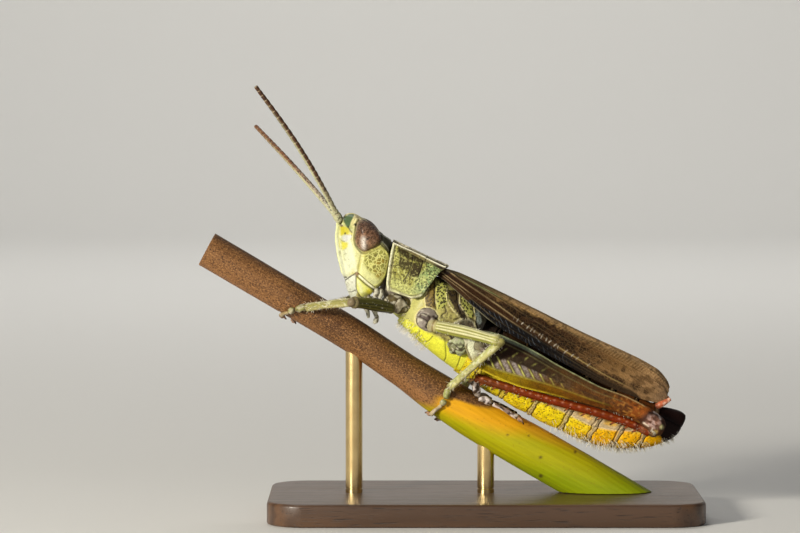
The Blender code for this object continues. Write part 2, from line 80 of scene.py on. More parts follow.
class Finish:
    """A painted surface: a Principled shader whose colour, gloss and relief the sections lay on."""

    def __init__(self, name, roughness=0.5, **constants):
        self.material = bpy.data.materials.new(name)
        self.material.use_nodes = True
        self.tree = self.material.node_tree
        self.shader = self.tree.nodes["Principled BSDF"]
        self.shader.inputs["Roughness"].default_value = roughness
        for socket, value in constants.items():
            self.shader.inputs[socket.replace("_", " ").title().replace("Ior", "IOR")].default_value = value

    def node(self, kind, settings=None, sockets=None, outlet=0):
        made = self.tree.nodes.new("ShaderNode" + kind)
        for key, value in (settings or {}).items():
            setattr(made, key, value)
        for key, value in (sockets or {}).items():
            if isinstance(value, Value):
                self.tree.links.new(value.socket, made.inputs[key])
            else:
                socket = made.inputs[key]
                fits = (*value, 1) if socket.type == "RGBA" and len(value) == 3 else value
                socket.default_value = fits
        return Value(self, made.outputs[outlet])

    def spot(self, scale=(1, 1, 1), tilted=True):
        """Place on the piece in millimetres, in the insect's own frame unless tilted is off."""
        where = self.node("TexCoord", outlet="Object")
        turn = -TILT if tilted else 0
        shift = (-math.sin(turn) * LIFT, 0, -math.cos(turn) * LIFT) if tilted else (0, 0, 0)
        where = self.node(
            "Mapping", {},
            {"Vector": where, "Location": shift, "Rotation": (0, turn, 0), "Scale": (1000,) * 3},
        )
        return where if scale == (1, 1, 1) else self.node("Mapping", {}, {"Vector": where, "Scale": scale})

    def kept(self, label, outlet=0):
        """What the piece keeps at each of its points."""
        return self.node("Attribute", {"attribute_name": label}, outlet=outlet)

    def mark(self, channel=0):
        """One of the three marks that the piece keeps at each of its points."""
        return self.node("SeparateColor", {}, {0: self.kept("marks")}, outlet=channel)

    def seams(self, scale, spot, wild=1.0):
        """Distance to the nearest seam of a net of cells."""
        sockets = {"Vector": spot, "Scale": scale, "Randomness": wild}
        return self.node("TexVoronoi", {"feature": "DISTANCE_TO_EDGE"}, sockets)

    def noise(self, size, spot, detail=2.0, rough=0.55):
        return self.node(
            "TexNoise", {}, {"Vector": spot, "Scale": 1 / size, "Detail": detail, "Roughness": rough}
        )

    def dots(self, size, spot):
        return self.node("TexVoronoi", {}, {"Vector": spot, "Scale": 1 / size})

    def mix(self, share, one, other):
        return self.node("Mix", {"data_type": "RGBA"}, {0: share, 6: one, 7: other}, outlet=2)

    def tone(self, colour, value):
        """A colour made brighter or darker by a value round 1."""
        return self.node("VectorMath", {"operation": "SCALE"}, {0: colour, "Scale": value})

    def wear(self, colour=None, roughness=None, height=None, depth=0.02):
        """Colour, gloss and relief led to the shader."""
        for name, value in (("Base Color", colour), ("Roughness", roughness)):
            if value is not None:
                self.tree.links.new(value.socket, self.shader.inputs[name])
        if height is not None:
            bump = self.node("Bump", {}, {"Height": height, "Distance": depth * MM, "Strength": 1.0})
            self.tree.links.new(bump.socket, self.shader.inputs["Normal"])
        return self


TILT, LIFT = math.radians(28), 10.25


def place(points):
    """Millimetres in the insect's frame to the shared frame: nose tipped up, lifted over the base."""
    x, y, z = np.moveaxis(np.asarray(points, float), -1, 0)
    c, s = math.cos(TILT), math.sin(TILT)
    return grid(x * c + z * s, y, LIFT - x * s + z * c)


def grid(one, two, three):
    """Three numbers at every point of a grid: a place, or a set of marks."""
    return np.stack(np.broadcast_arrays(one, two, three), -1)


def turns(count):
    """Even steps once round."""
    return np.linspace(0, math.tau, count, endpoint=False)


def facing_out(spots, faces):
    """Faces of a closed shape, turned round if they point inwards."""
    corners = np.array([f[:3] for f in faces] + [(f[0], f[2], f[3]) for f in faces if len(f) == 4])
    a, b, c = np.moveaxis((spots - spots.mean(0))[corners], 1, 0)
    inwards = np.einsum("ij,ij->i", a, np.cross(b, c)).sum() < 0
    return [f[::-1] for f in faces] if inwards else faces


def patch(points, paint, tilted=True, marks=(0, 0, 0)):
    """Rows of points as faces, closed round and capped, with a colour and marks at every point."""
    points = np.asarray(points, float)
    rows, columns = points.shape[:2]
    paint = np.broadcast_to(np.asarray(paint, float), points.shape)
    marks = np.broadcast_to(np.asarray(marks, float), points.shape)
    index = np.arange(rows * columns).reshape(rows, columns)
    beside = np.roll(index, -1, 1)
    faces = np.stack([index[:-1], beside[:-1], beside[1:], index[1:]], -1).reshape(-1, 4).tolist()
    spots, tints, notes = [g.reshape(-1, 3) for g in (points, paint, marks)]
    for row, turn in ((0, 1), (rows - 1, -1)):
        tip = len(spots)
        spots, tints, notes = [
            np.vstack([flat, rings[row].mean(0)])
            for flat, rings in ((spots, points), (tints, paint), (notes, marks))
        ]
        ring = index[row]
        faces += [[b, a, tip][::turn] for a, b in zip(ring, np.roll(ring, -1))]
    return place(spots) if tilted else spots, facing_out(spots, faces), tints, notes


def in_scene(name, data):
    made = bpy.data.objects.new(name, data)
    bpy.context.scene.collection.objects.link(made)
    return made


def fitted(name, mesh, nodes):
    """The mesh as a piece of the model, riding with it in place of the CAD nodes it stands for."""
    made = in_scene(name, mesh)
    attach(made, "root")
    if nodes:
        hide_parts(*nodes)


def keep(mesh, label, values, kind="FLOAT_COLOR", field="color"):
    """Values kept on the mesh, one for each point, for its material or for Geometry Nodes."""
    if field == "color":
        values = np.hstack([values, np.ones((len(values), 1))])
    mesh.attributes.new(label, kind, "POINT").data.foreach_set(field, np.asarray(values, np.float32).ravel())


def piece(name, patches, finish, slot, *nodes, sharp=None):
    """One mesh from the patches, in the shared frame, in place of the CAD nodes it stands for."""
    spots, faces, tints, notes, start = [], [], [], [], 0
    for s, f, t, n in patches:
        spots.append(s)
        tints.append(t)
        notes.append(n)
        faces += [[v + start for v in face] for face in f]
        start += len(s)
    mesh = bpy.data.meshes.new(name)
    mesh.from_pydata((np.vstack(spots) * MM).tolist(), [], faces)
    for label, values in (("paint", tints), ("marks", notes)):
        keep(mesh, label, np.clip(np.vstack(values), 0, 1))
    work = bmesh.new()
    work.from_mesh(mesh)
    bmesh.ops.remove_doubles(work, verts=work.verts, dist=2e-7)
    work.to_mesh(mesh)
    work.free()
    mesh.shade_smooth()
    if sharp:
        mesh.set_sharp_from_angle(angle=math.radians(sharp))
    mesh.materials.append(finish.material)
    fitted(name, mesh, nodes)


def base_rings():
    rings = []
    turn = np.radians(np.arange(0, 360, 6) + 3)
    reach = BASE["ease"]
    profile = [(0, reach), (0.03, 0.03), (0.08, 0)]
    profile += [
        (BASE["thick"] - reach * (1 - math.sin(a)), reach * (1 - math.cos(a)))
        for a in np.radians([0, 20, 45, 70, 90])
    ]
    profile += [(BASE["thick"], 0.6), (BASE["thick"], 3.0)]
    for z, inset in profile:
        corner = max(BASE["corner"] - inset, 0.05)
        x = np.sign(np.cos(turn)) * (BASE["length"] / 2 - inset - corner) + corner * np.cos(turn)
        y = np.sign(np.sin(turn)) * (BASE["depth"] / 2 - inset - corner) + corner * np.sin(turn)
        rings.append(grid(x + BASE["behind"], y, z))
    return np.array(rings)


walnut = Finish("oiled_walnut", 0.42, coat_weight=0.25, coat_roughness=0.25)
along = walnut.spot((0.1, 1.0, 1.0), tilted=False)
rings = walnut.noise(0.85, along, 3.0)
veins = walnut.node(
    "TexWave", {"bands_direction": "Y"},
    {"Vector": along, "Scale": 0.55, "Distortion": 5.5, "Detail": 3.0, "Detail Scale": 1.4},
)
wood = walnut.mix(veins * 0.6 + rings * 0.4, WALNUT[0], WALNUT[1])
pores = walnut.noise(0.06, walnut.spot((0.06, 1.0, 1.0), tilted=False), 2.0)
wood = walnut.mix(pores.between(0.6, 0.72) * 0.75, wood, WALNUT[2])
walnut.wear(wood, 0.36 + rings * 0.16, veins * 0.25 - pores.between(0.6, 0.72), depth=0.012)
piece(
    "display_base", [patch(base_rings(), (0.1, 0.05, 0.02), tilted=False)], walnut, "stand_base", "stand_base"
)


# Plant stem. A cut length of green rush, dried to rusty brown over its upper half and still orange,
# then green, towards the root. Its foot is sliced level and glued to the base.
STEM = (
    (-9.345, -3.98, 0.74), (-6.0, -4.13, 0.73), (-2.5, -4.31, 0.71), (0.0, -4.57, 0.73), (2.0, -4.8, 0.85),
    (4.0, -4.94, 0.93), (7.0, -5.02, 0.99), (13.5, -5.3, 1.0),
)
RUSH = dict(
    rust=(0.15, 0.068, 0.022), pink=(0.33, 0.155, 0.058), orange=(0.76, 0.37, 0.006),
    lime=(0.39, 0.39, 0.002), green=(0.275, 0.34, 0.002),
)


def smooth(keys, at, column=1):
    """Value at each place of a smooth curve through the rows of keys, which doesn't overshoot them."""
    keys = np.asarray(keys, float)
    keys = keys[np.argsort(keys[:, 0])]
    spot, value = keys[:, 0], keys[:, column]
    step = np.diff(spot)
    rise = np.diff(value) / step
    slope = np.concatenate([rise[:1], np.zeros(len(spot) - 2), rise[-1:]])
    same = np.flatnonzero(rise[:-1] * rise[1:] > 0)
    slope[same + 1] = 2 * rise[same] * rise[same + 1] / (rise[same] + rise[same + 1])
    at = np.clip(at, spot[0], spot[-1])
    i = np.clip(np.searchsorted(spot, at, side="right") - 1, 0, len(step) - 1)
    t = (at - spot[i]) / step[i]
    return (
        value[i] * (2 * t**3 - 3 * t**2 + 1) + value[i + 1] * (3 * t**2 - 2 * t**3)
        + step[i] * slope[i] * (t**3 - 2 * t**2 + t) + step[i] * slope[i + 1] * (t**3 - t**2)
    )


def ramp(value, low, high):
    """0 at low, 1 at high, easing in and out."""
    t = np.clip((value - low) / (high - low), 0, 1)
    return t * t * (3 - 2 * t)


def fall(value, low, high):
    """1 at low, 0 at high, easing in and out."""
    return ramp(-value, -high, -low)


def grain(points, size, seed=0):
    """Soft cloudy noise from 0 to 1 at points, its lumps about size across."""
    q = np.asarray(points, float) / size
    low = np.floor(q)
    t = q - low
    t = t * t * (3 - 2 * t)
    total = 0
    for corner in itertools.product((0, 1), repeat=3):
        chance = np.sin((low + corner) @ (127.1, 311.7, 74.7) + seed * 17.3) * 43758.5453
        share = np.prod(np.where(np.array(corner) > 0, t, 1 - t), -1)
        total = total + share * (chance - np.floor(chance))
    return total


def bell(away, wide, power=2):
    """1 where away is nothing, falling off round wide; a higher power has a flatter top."""
    return np.exp(-((away / wide) ** power))


def over(paint, share, colour):
    """Paint with colour laid over it by share."""
    share = np.clip(share, 0, 1)[..., None]
    return np.asarray(paint, float) * (1 - share) + np.asarray(colour, float) * share


def painted(paint, *coats):
    """Paint with coats of share and colour laid over it in order."""
    for share, colour in coats:
        paint = over(paint, share, colour)
    return paint


def stem_points(rows, columns):
    turn = turns(columns)
    low, high = np.full(columns, 0.0), np.full(columns, 14.5)
    for _ in range(40):
        middle = (low + high) / 2
        height = (
            LIFT - middle * math.sin(TILT)
            + (smooth(STEM, middle) + smooth(STEM, middle, 2) * np.sin(turn)) * math.cos(TILT)
        )
        clear = height > BASE["thick"] + 0.03
        low, high = np.where(clear, middle, low), np.where(clear, high, middle)
    x = STEM[0][0] + np.linspace(0, 1, rows)[:, None] * (low - STEM[0][0])
    turn = np.broadcast_to(turn, x.shape)
    radius = smooth(STEM, x, 2) - 0.006 + 0.006 * np.cos(26 * turn + 2.5 * np.sin(x * 0.9))
    radius = radius - 0.02 * bell(x + 5.45, 0.06)
    y, z = radius * np.cos(turn), smooth(STEM, x) + radius * np.sin(turn)
    return grid(x, y, z), np.sin(turn)


stalk, side_up = stem_points(420, 112)
x = stalk[..., 0]
cloud = grain(stalk * (0.5, 1, 1), 0.8, 1) - 0.5
stem_paint = painted(
    RUSH["rust"],
    # painted light: the underside of the stem laid lighter pink, as if lit from below
    (ramp(x, -3.0, 2.0) * fall(side_up, -0.6, 0.1) * 0.85, RUSH["pink"]),
    (fall(side_up, -0.9, -0.2) * 0.4, RUSH["pink"]),
    (fall(x, -6.0, -5.0) * 0.3, RUSH["pink"]),
    (ramp(cloud, 0.05, 0.35) * 0.45, (0.085, 0.036, 0.014)),
    # painted shade: the crest of the stem laid darker
    (ramp(side_up, 0.55, 1.0) * 0.6, (0.06, 0.026, 0.012)),
)
live = painted(
    RUSH["orange"],
    (ramp(x - side_up * 3.4 + cloud * 1.2, 2.8, 5.8) * 0.92, RUSH["lime"]),
    (ramp(x - side_up * 2.4 + cloud, 6.6, 9.8), RUSH["green"]),
    (ramp(side_up + cloud * 0.6, 0.55, 1.0) * fall(x, 6.0, 9.5) * 0.55, (0.55, 0.25, 0.02)),
)
edge = 2.15 + 2.3 * ramp(side_up, -0.15, 0.85) - 0.5 * fall(side_up, -1.0, -0.4) + cloud * 1.1
dry = ramp(edge - x, -0.35, 0.55)
stem_paint = over(live, dry, stem_paint)
for spot_x, spot_up, wide in (
    (6.95, -0.05, 0.07), (7.35, -0.75, 0.09), (8.15, 0.85, 0.06), (5.3, 0.1, 0.05), (10.1, -0.2, 0.06),
    (6.1, 0.5, 0.04),
):
    for face in (-1, 1):
        away = np.hypot(x - spot_x, (side_up - spot_up) * 0.95) + (np.sign(stalk[..., 1]) != face) * 9
        stem_paint = over(stem_paint, bell(away, wide, 4) * 0.85, (0.06, 0.03, 0.01))
rush = Finish("rush_stem", 0.55, coat_weight=0.05, coat_roughness=0.4, specular_ior_level=0.22)
dryness = rush.mark()
streaks = rush.noise(0.16, rush.spot((0.1, 1, 1)), 3.0)
specks = rush.noise(0.055, rush.spot((0.75, 1, 1)), 2.0, 0.7)
flecks = rush.dots(0.17, rush.spot((0.8, 1, 1)))
toned = rush.tone(rush.kept("paint"), 0.72 + streaks * 0.5)
toned = rush.mix(specks.between(0.55, 0.66) * dryness * 0.8, toned, (0.4, 0.2, 0.075))
toned = rush.mix((1 - specks).between(0.53, 0.63) * dryness * 0.85, toned, (0.038, 0.015, 0.008))
toned = rush.mix((1 - flecks).between(0.8, 0.93) * (1 - dryness) * 0.35, toned, (0.3, 0.15, 0.01))
rush.wear(toned, 0.42 + specks * 0.22, streaks * 0.5 + specks * dryness * 0.8, depth=0.016)
dried = grid(dry, dry, dry)
piece("cut_stem", [patch(stalk, stem_paint, marks=dried)], rush, "stem", "perch_stem")

# Display rods. Two short brass rods let into the base, turned round with a fine groove near the foot
# and lacquered; the stem lies in the hollow filed across the top of each.
ROD = dict(radius=0.355, waist=0.335, foot=0.93, shaft=1.6, tallest=12.0, sunk=0.03)
ROD_GROOVE = (1.1, 1.12, 1.16, 1.18)
ROD_TONE = ((0.78, 0.58, 0.27), (0.6, 0.42, 0.18))


def rod_rings(middle):
    turn = turns(56)
    radius, shaft = ROD["radius"], ROD["shaft"]
    x, y = middle + radius * np.cos(turn), radius * np.sin(turn)
    heights = np.linspace(shaft, ROD["tallest"], 2400)[:, None]
    along = x * math.cos(TILT) - (heights - LIFT) * math.sin(TILT)
    above = x * math.sin(TILT) + (heights - LIFT) * math.cos(TILT)
    inside = np.hypot(y, above - smooth(STEM, along)) < smooth(STEM, along, 2) - ROD["sunk"]
    top = heights[inside.argmax(0), 0]
    turned = zip(
        (radius, radius, ROD["waist"], ROD["waist"], radius, radius), (ROD["foot"], *ROD_GROOVE, shaft)
    )
    rings = [*turned, *((radius, shaft + (top - shaft) * share) for share in (0.25, 0.5, 0.75, 1.0))]
    return np.array([grid(middle + reach * np.cos(turn), reach * np.sin(turn), z) for reach, z in rings])


brass = Finish("lacquered_brass", 0.22, metallic=1.0, coat_weight=0.3, coat_roughness=0.1)
tarnish = brass.noise(0.6, brass.spot(tilted=False), 3.0)
turned = brass.noise(0.05, brass.spot((0.3, 0.3, 3.0), tilted=False), 2.0)
brass.wear(
    brass.mix(tarnish.between(0.45, 0.75) * 0.7, *ROD_TONE), 0.18 + turned * 0.12, turned, depth=0.0015
)
for end, middle in (("front", -4.0), ("rear", 1.5)):
    piece(
        f"rod_{end}", [patch(rod_rings(middle), ROD_TONE[0], tilted=False)], brass, "stand_rod",
        f"stand_rod_{end}", sharp=35,
    )


# Winged thorax. The middle of the body in hard plates: slanting side plates of dotted green and
# brown with cream seams, and a lemon yellow breastplate below. It carries the wings and four legs.
THORAX = (
    (-0.94, -0.7, -2.92, 0.7), (-0.5, -0.5, -3.05, 1.06), (0.2, -0.4, -3.24, 1.28), (1.0, -0.42, -3.42, 1.32),
    (1.7, -0.55, -3.54, 1.18), (2.32, -0.72, -3.61, 1.04),
)
CREAM, LEMON, PALE = (0.66, 0.59, 0.28), (0.74, 0.73, 0.055), (0.46, 0.42, 0.125)
UMBER, INK = (0.1, 0.066, 0.022), (0.02, 0.013, 0.008)
ASH = (0.17, 0.155, 0.105)


def curved(path, steps=6):
    """Path made smooth through its points."""
    path = np.asarray(path, float)
    path = np.vstack([2 * path[0] - path[1], path, 2 * path[-1] - path[-2]])
    out = []
    for a, b, c, d in zip(path, path[1:], path[2:], path[3:]):
        for t in np.arange(steps) / steps:
            out.append(
                0.5
                * (2 * b + (c - a) * t + (2 * a - 5 * b + 4 * c - d) * t**2 + (3 * b - a - 3 * c + d) * t**3)
            )
    return np.array([*out, path[-2]])


def most(*masks):
    return np.maximum.reduce(masks)


def near(path, x, z):
    """Distance of each point of the side view from a path."""
    best = np.full(np.shape(x), 99.0)
    for (ax, az), (bx, bz) in zip(path, path[1:]):
        dx, dz = bx - ax, bz - az
        t = np.clip(((x - ax) * dx + (z - az) * dz) / max(dx * dx + dz * dz, 1e-9), 0, 1)
        best = np.minimum(best, np.hypot(x - ax - t * dx, z - az - t * dz))
    return best


def stroke(path, x, z, wide, steps=6):
    """A soft line along a smooth path, 1 in its middle."""
    return bell(near(curved(path, steps), x, z), wide)


def area(outline, x, z, soft=0.05):
    """1 inside a closed outline with rounded corners, 0 outside."""
    outline = np.asarray(outline, float)
    loop = curved(np.vstack([outline, outline[:1]]), 4)
    inside = np.zeros(np.shape(x), bool)
    for (ax, az), (bx, bz) in zip(loop, loop[1:]):
        if az != bz:
            inside ^= ((az > z) != (bz > z)) & (x < (bx - ax) * (z - az) / (bz - az) + ax)
    away = near(loop, x, z)
    return ramp(np.where(inside, away, -away), -soft, soft)


def outward(points, around=True):
    """Unit steps out of the surface at each of its points."""
    beside = (np.roll(points, -1, 1) - np.roll(points, 1, 1)) if around else np.gradient(points, axis=1)
    out = np.cross(np.gradient(points, axis=0), beside)
    out /= np.linalg.norm(out, axis=-1, keepdims=True) + 1e-12
    return -out if ((points - points.mean(1, keepdims=True)) * out).sum() < 0 else out


def raised(points, height, around=True):
    """Points moved out of their surface by height."""
    return points + outward(points, around) * np.asarray(height)[..., None]


def fuller(swing, power):
    """A sine or cosine whose curve is squarer than a circle's where power is below 1."""
    return np.sign(swing) * np.abs(swing) ** power


def oval_rings(keys, rows, columns, power=2.2, first=None, last=None):
    """The trunk's rounded sections, from keys of place, top, bottom and half width."""
    x = np.linspace(
        keys[0][0] if first is None else first, keys[-1][0] if last is None else last, rows
    )[:, None]
    turn = (np.arange(columns) + 0.5) / columns * math.tau
    top, bottom, width = (smooth(keys, x, column) for column in (1, 2, 3))
    y = fuller(np.cos(turn), 2 / power) * width
    z = (top + bottom) / 2 + fuller(np.sin(turn), 2 / power) * (top - bottom) / 2
    return grid(x, y, z)


def cuticle(
    name, pit=0.13, ink=INK, rough=0.46, coat=0.08, mottle=0.5, depth=0.026, reach=0.4, gloss=0.2,
    web=(0.13, 0.065, 0.018), mesh=1.7, **constants,
):
    """Painted shell of an insect: cloudy tone, dark pits where its marks say so, a thin waxy gloss."""
    shell = Finish(name, rough, coat_weight=coat, coat_roughness=0.28, specular_ior_level=gloss, **constants)
    spot = shell.spot()
    pitted, lined = shell.mark(0), shell.mark(1)
    cloud = shell.noise(0.26, spot, 4.0, 0.6)
    fine = shell.noise(0.045, spot, 3.0, 0.6)
    stir = shell.node("TexNoise", {}, {"Vector": spot, "Scale": 1 / (pit * 0.8), "Detail": 1.0}, outlet=1)
    wavy = shell.node("VectorMath", {"operation": "MULTIPLY_ADD"}, {0: stir, 1: (pit * 0.75,) * 3, 2: spot})
    hole = shell.dots(pit, wavy)
    dark = (
        (hole * -1.0 + fine * 0.25 + cloud * 0.25).between(0.25 - reach - 0.05, 0.25 - reach + 0.07) * pitted
    )
    net = (1 - shell.seams(1 / (pit * mesh), wavy)).between(0.86, 0.94) * lined
    toned = shell.tone(
        shell.kept("paint"),
        1 - mottle * 0.62 + cloud.between(0.3, 0.7) * (mottle * 0.62)
        + fine.between(0.34, 0.66) * (mottle * 0.62),
    )
    toned = shell.mix(dark * 0.9, toned, ink)
    toned = shell.mix(net * 0.8, toned, web)
    return shell.wear(
        toned, rough - 0.08 + fine * 0.2, fine * 0.3 + cloud * 0.25 - dark * 0.7 - net * 0.5, depth
    )


chest = oval_rings(THORAX, 150, 260, 2.5)
x, z = chest[..., 0], chest[..., 2]
under = fall(z, -2.75, -2.55)
plates = {
    "brown": [(-0.47, -0.95), (-0.36, -0.66), (-0.05, -1.25), (0.15, -1.6), (-0.07, -1.85), (-0.42, -1.45)],
    "green_front": [
        (-0.32, -0.58), (0.1, -0.55), (0.33, -0.85), (0.5, -1.3), (0.3, -1.6), (0.18, -1.52), (-0.15, -0.95)
    ],
    "dark": [
        (0.3, -0.72), (0.6, -0.58), (0.8, -0.62), (1.05, -1.02), (1.5, -1.38), (1.32, -1.48), (0.7, -1.15),
        (0.42, -0.95),
    ],
    "green_rear": [
        (0.86, -0.62), (1.3, -0.7), (1.48, -0.85), (1.72, -1.2), (1.6, -1.32), (1.25, -1.15), (1.02, -0.92)
    ],
    "ash": [
        (1.15, -1.75), (1.45, -1.42), (1.85, -1.4), (2.25, -1.85), (2.35, -2.5), (2.05, -2.82), (1.6, -2.6),
        (1.15, -2.3),
    ],
    "front_strip": [(-0.86, -1.5), (-0.5, -1.52), (-0.42, -2.1), (-0.4, -2.62), (-0.95, -2.7)],
}
masks = {name: area(outline, x, z, 0.035) * (1 - under) for name, outline in plates.items()}
pale_seams = (
    [(0.22, -0.68), (0.4, -1.05), (0.72, -1.28), (1.3, -1.52)],
    [(0.78, -0.6), (1.02, -1.02), (1.62, -1.36)],
    [(-0.46, -1.05), (-0.42, -1.5), (-0.05, -1.9)],
    [(-0.9, -1.7), (-0.82, -2.2), (-0.92, -2.66)],
    [(1.5, -0.75), (1.7, -1.02)],
    [(1.82, -1.18), (1.92, -1.42), (2.08, -1.58)],
)
dark_seams = (
    [(-0.4, -0.6), (-0.02, -1.35), (0.22, -1.66)],
    [(0.45, -1.34), (0.62, -1.55), (0.54, -1.75), (0.72, -1.92)],
    [(1.1, -2.15), (1.55, -2.58), (2.12, -2.88)],
    [(0.62, -0.6), (0.98, -1.1), (1.45, -1.46)],
    [(-0.45, -0.35), (0.4, -0.5), (1.6, -0.72)],
    [(1.12, -1.65), (1.4, -1.36), (1.9, -1.34), (2.25, -1.7)],
)
belly_seams = (
    [(0.05, -2.8), (-0.05, -3.1)],
    [(-0.05, -3.02), (0.3, -3.16), (0.55, -3.02), (0.62, -2.72)],
    [(1.1, -2.55), (1.5, -3.2), (1.55, -3.5)],
    [(2.05, -2.9), (2.15, -3.55)],
)
pale = most(*(stroke(p, x, z, 0.03) for p in pale_seams)) * (1 - under)
deep = most(*(stroke(p, x, z, 0.026) for p in dark_seams)) * (1 - under)
belly = most(*(stroke(p, x, z, 0.022) for p in belly_seams))
coxa_rim = bell(np.hypot(x - 0.1, z + 2.22) - 0.5, 0.045) * (1 - under)
height = 0.03 * pale - 0.045 * deep - 0.03 * belly + 0.03 * coxa_rim
for name, lift in (
    ("brown", 0.03), ("green_front", 0.035), ("dark", 0.02), ("green_rear", 0.035), ("ash", 0.05)
):
    height = height + lift * masks[name]
chest = raised(chest, height - 0.02)
chest_paint = painted(
    PALE,
    (masks["front_strip"] * 0.9, (0.47, 0.45, 0.14)),
    (grain(chest, 0.13, 4) * ramp(x, 0.3, 0.8) * 0.95 * (1 - under), (0.16, 0.11, 0.04)),
    (masks["brown"], (0.19, 0.128, 0.026)),
    (most(masks["green_front"], masks["green_rear"]), (0.42, 0.42, 0.1)),
    (masks["dark"], (0.058, 0.038, 0.014)),
    # painted shade: the rear upper corner of the thorax, by the gap before the abdomen, laid near black
    (
        area([(1.4, -0.6), (1.72, -0.98), (1.86, -1.3), (2.1, -1.62), (2.3, -1.95), (2.4, -0.6)], x, z, 0.06)
        * 0.95,
        (0.016, 0.015, 0.016),
    ),
    (
        area([(1.6, -0.98), (1.83, -0.9), (2.14, -1.24), (2.04, -1.38), (1.8, -1.14)], x, z, 0.03) * 0.9,
        (0.27, 0.31, 0.27),
    ),
    (masks["ash"] * 0.9, ASH),
    (masks["ash"] * ramp(grain(chest, 0.2, 9), 0.45, 0.7) * 0.8, (0.055, 0.045, 0.03)),
    (
        stroke([(1.14, -1.8), (1.42, -1.46), (1.84, -1.42), (2.2, -1.8)], x, z, 0.035) * (1 - under),
        (0.5, 0.46, 0.3),
    ),
    (under, LEMON),
    (under * fall(x, -0.9, -0.2) * 0.4, (0.62, 0.64, 0.15)),
    (most(pale, coxa_rim), CREAM),
    (most(deep, belly * 0.75), (0.045, 0.03, 0.012)),
    (ramp(z, -0.62, -0.45), UMBER),
)
dotted = (
    most(masks["green_front"], masks["green_rear"]) + masks["dark"] + masks["brown"] * 0.7
    + (1 - under) * (0.08 + 0.37 * ramp(x, 0.2, 0.7))
)
shell = cuticle("thorax_plates", 0.105, reach=0.43)
marks = grid(dotted, masks["ash"] * 0.3, 0)
hairy_breast = [(chest, 200, 0.26)]
piece("thorax_shell", [patch(chest, chest_paint, marks=marks)], shell, "thorax", "thorax")

# Neck and fore thorax. The soft pale neck and the small breast that carries the front legs, almost
# hidden by the pronotum and the head; grey-brown skin with pale lumps and dark folds.
PROTHORAX = (
    (-2.95, -0.1, -1.8, 0.62), (-2.62, -0.1, -1.9, 0.66), (-2.3, -0.2, -1.95, 0.66),
    (-1.9, -0.45, -2.3, 0.66), (-1.25, -0.55, -2.7, 0.78), (-0.9, -0.6, -2.8, 0.76),
)
neck = oval_rings(PROTHORAX, 70, 120, 2.0)
x, z = neck[..., 0], neck[..., 2]
folds = np.sin(x * 16 + 3 * z) * fall(x, -2.0, -1.5)
lumps = grain(neck, 0.22, 7)
neck = raised(neck, 0.025 * folds + 0.05 * (lumps - 0.5) - 0.01)
neck_paint = painted(
    (0.16, 0.13, 0.095),
    (ramp(lumps, 0.55, 0.75), (0.42, 0.37, 0.28)),
    (fall(z, -2.6, -2.2), (0.5, 0.5, 0.12)),
    # painted shade: the top of the neck, under the pronotum, laid near black
    (ramp(z, -0.75, -0.45), (0.02, 0.015, 0.008)),
    (fall(folds, -1.0, -0.5) * 0.8, (0.03, 0.02, 0.015)),
)
piece("neck_and_breast", [patch(neck, neck_paint, marks=(0.2, 0, 0))], shell, "thorax", "prothorax")

# Abdomen. Horny rings that overlap towards the tail, each a brown back plate and a yellow or orange
# belly plate, joined along the flank by a pale soft fold. The last ring and the tip are black.
ABDOMEN = (
    (2.23, -1.06, -3.62, 1.02), (4.0, -1.16, -3.74, 1.1), (6.0, -1.2, -3.79, 1.06), (8.0, -1.16, -3.7, 0.98),
    (9.2, -1.02, -3.46, 0.92), (10.45, -0.9, -2.88, 0.78),
)
TIP = (
    (10.48, -0.9, -2.86, 0.76), (10.9, -0.76, -2.56, 0.68), (11.3, -0.69, -2.12, 0.56),
    (11.52, -0.73, -1.8, 0.46), (11.6, -0.85, -1.62, 0.34),
)
RINGS = (1.7, 3.05, 4.35, 5.7, 7.15, 8.35, 9.4, 10.36, 12.2)
FLANK_FOLD = (
    (2.2, -2.75), (4.0, -2.86), (6.0, -2.95), (8.0, -2.93), (9.0, -2.68), (9.8, -2.32), (10.5, -1.95),
    (11.6, -1.3),
)
YELLOW, ORANGE, RUST = (0.86, 0.66, 0.008), (1.0, 0.5, 0.004), (0.36, 0.1, 0.02)


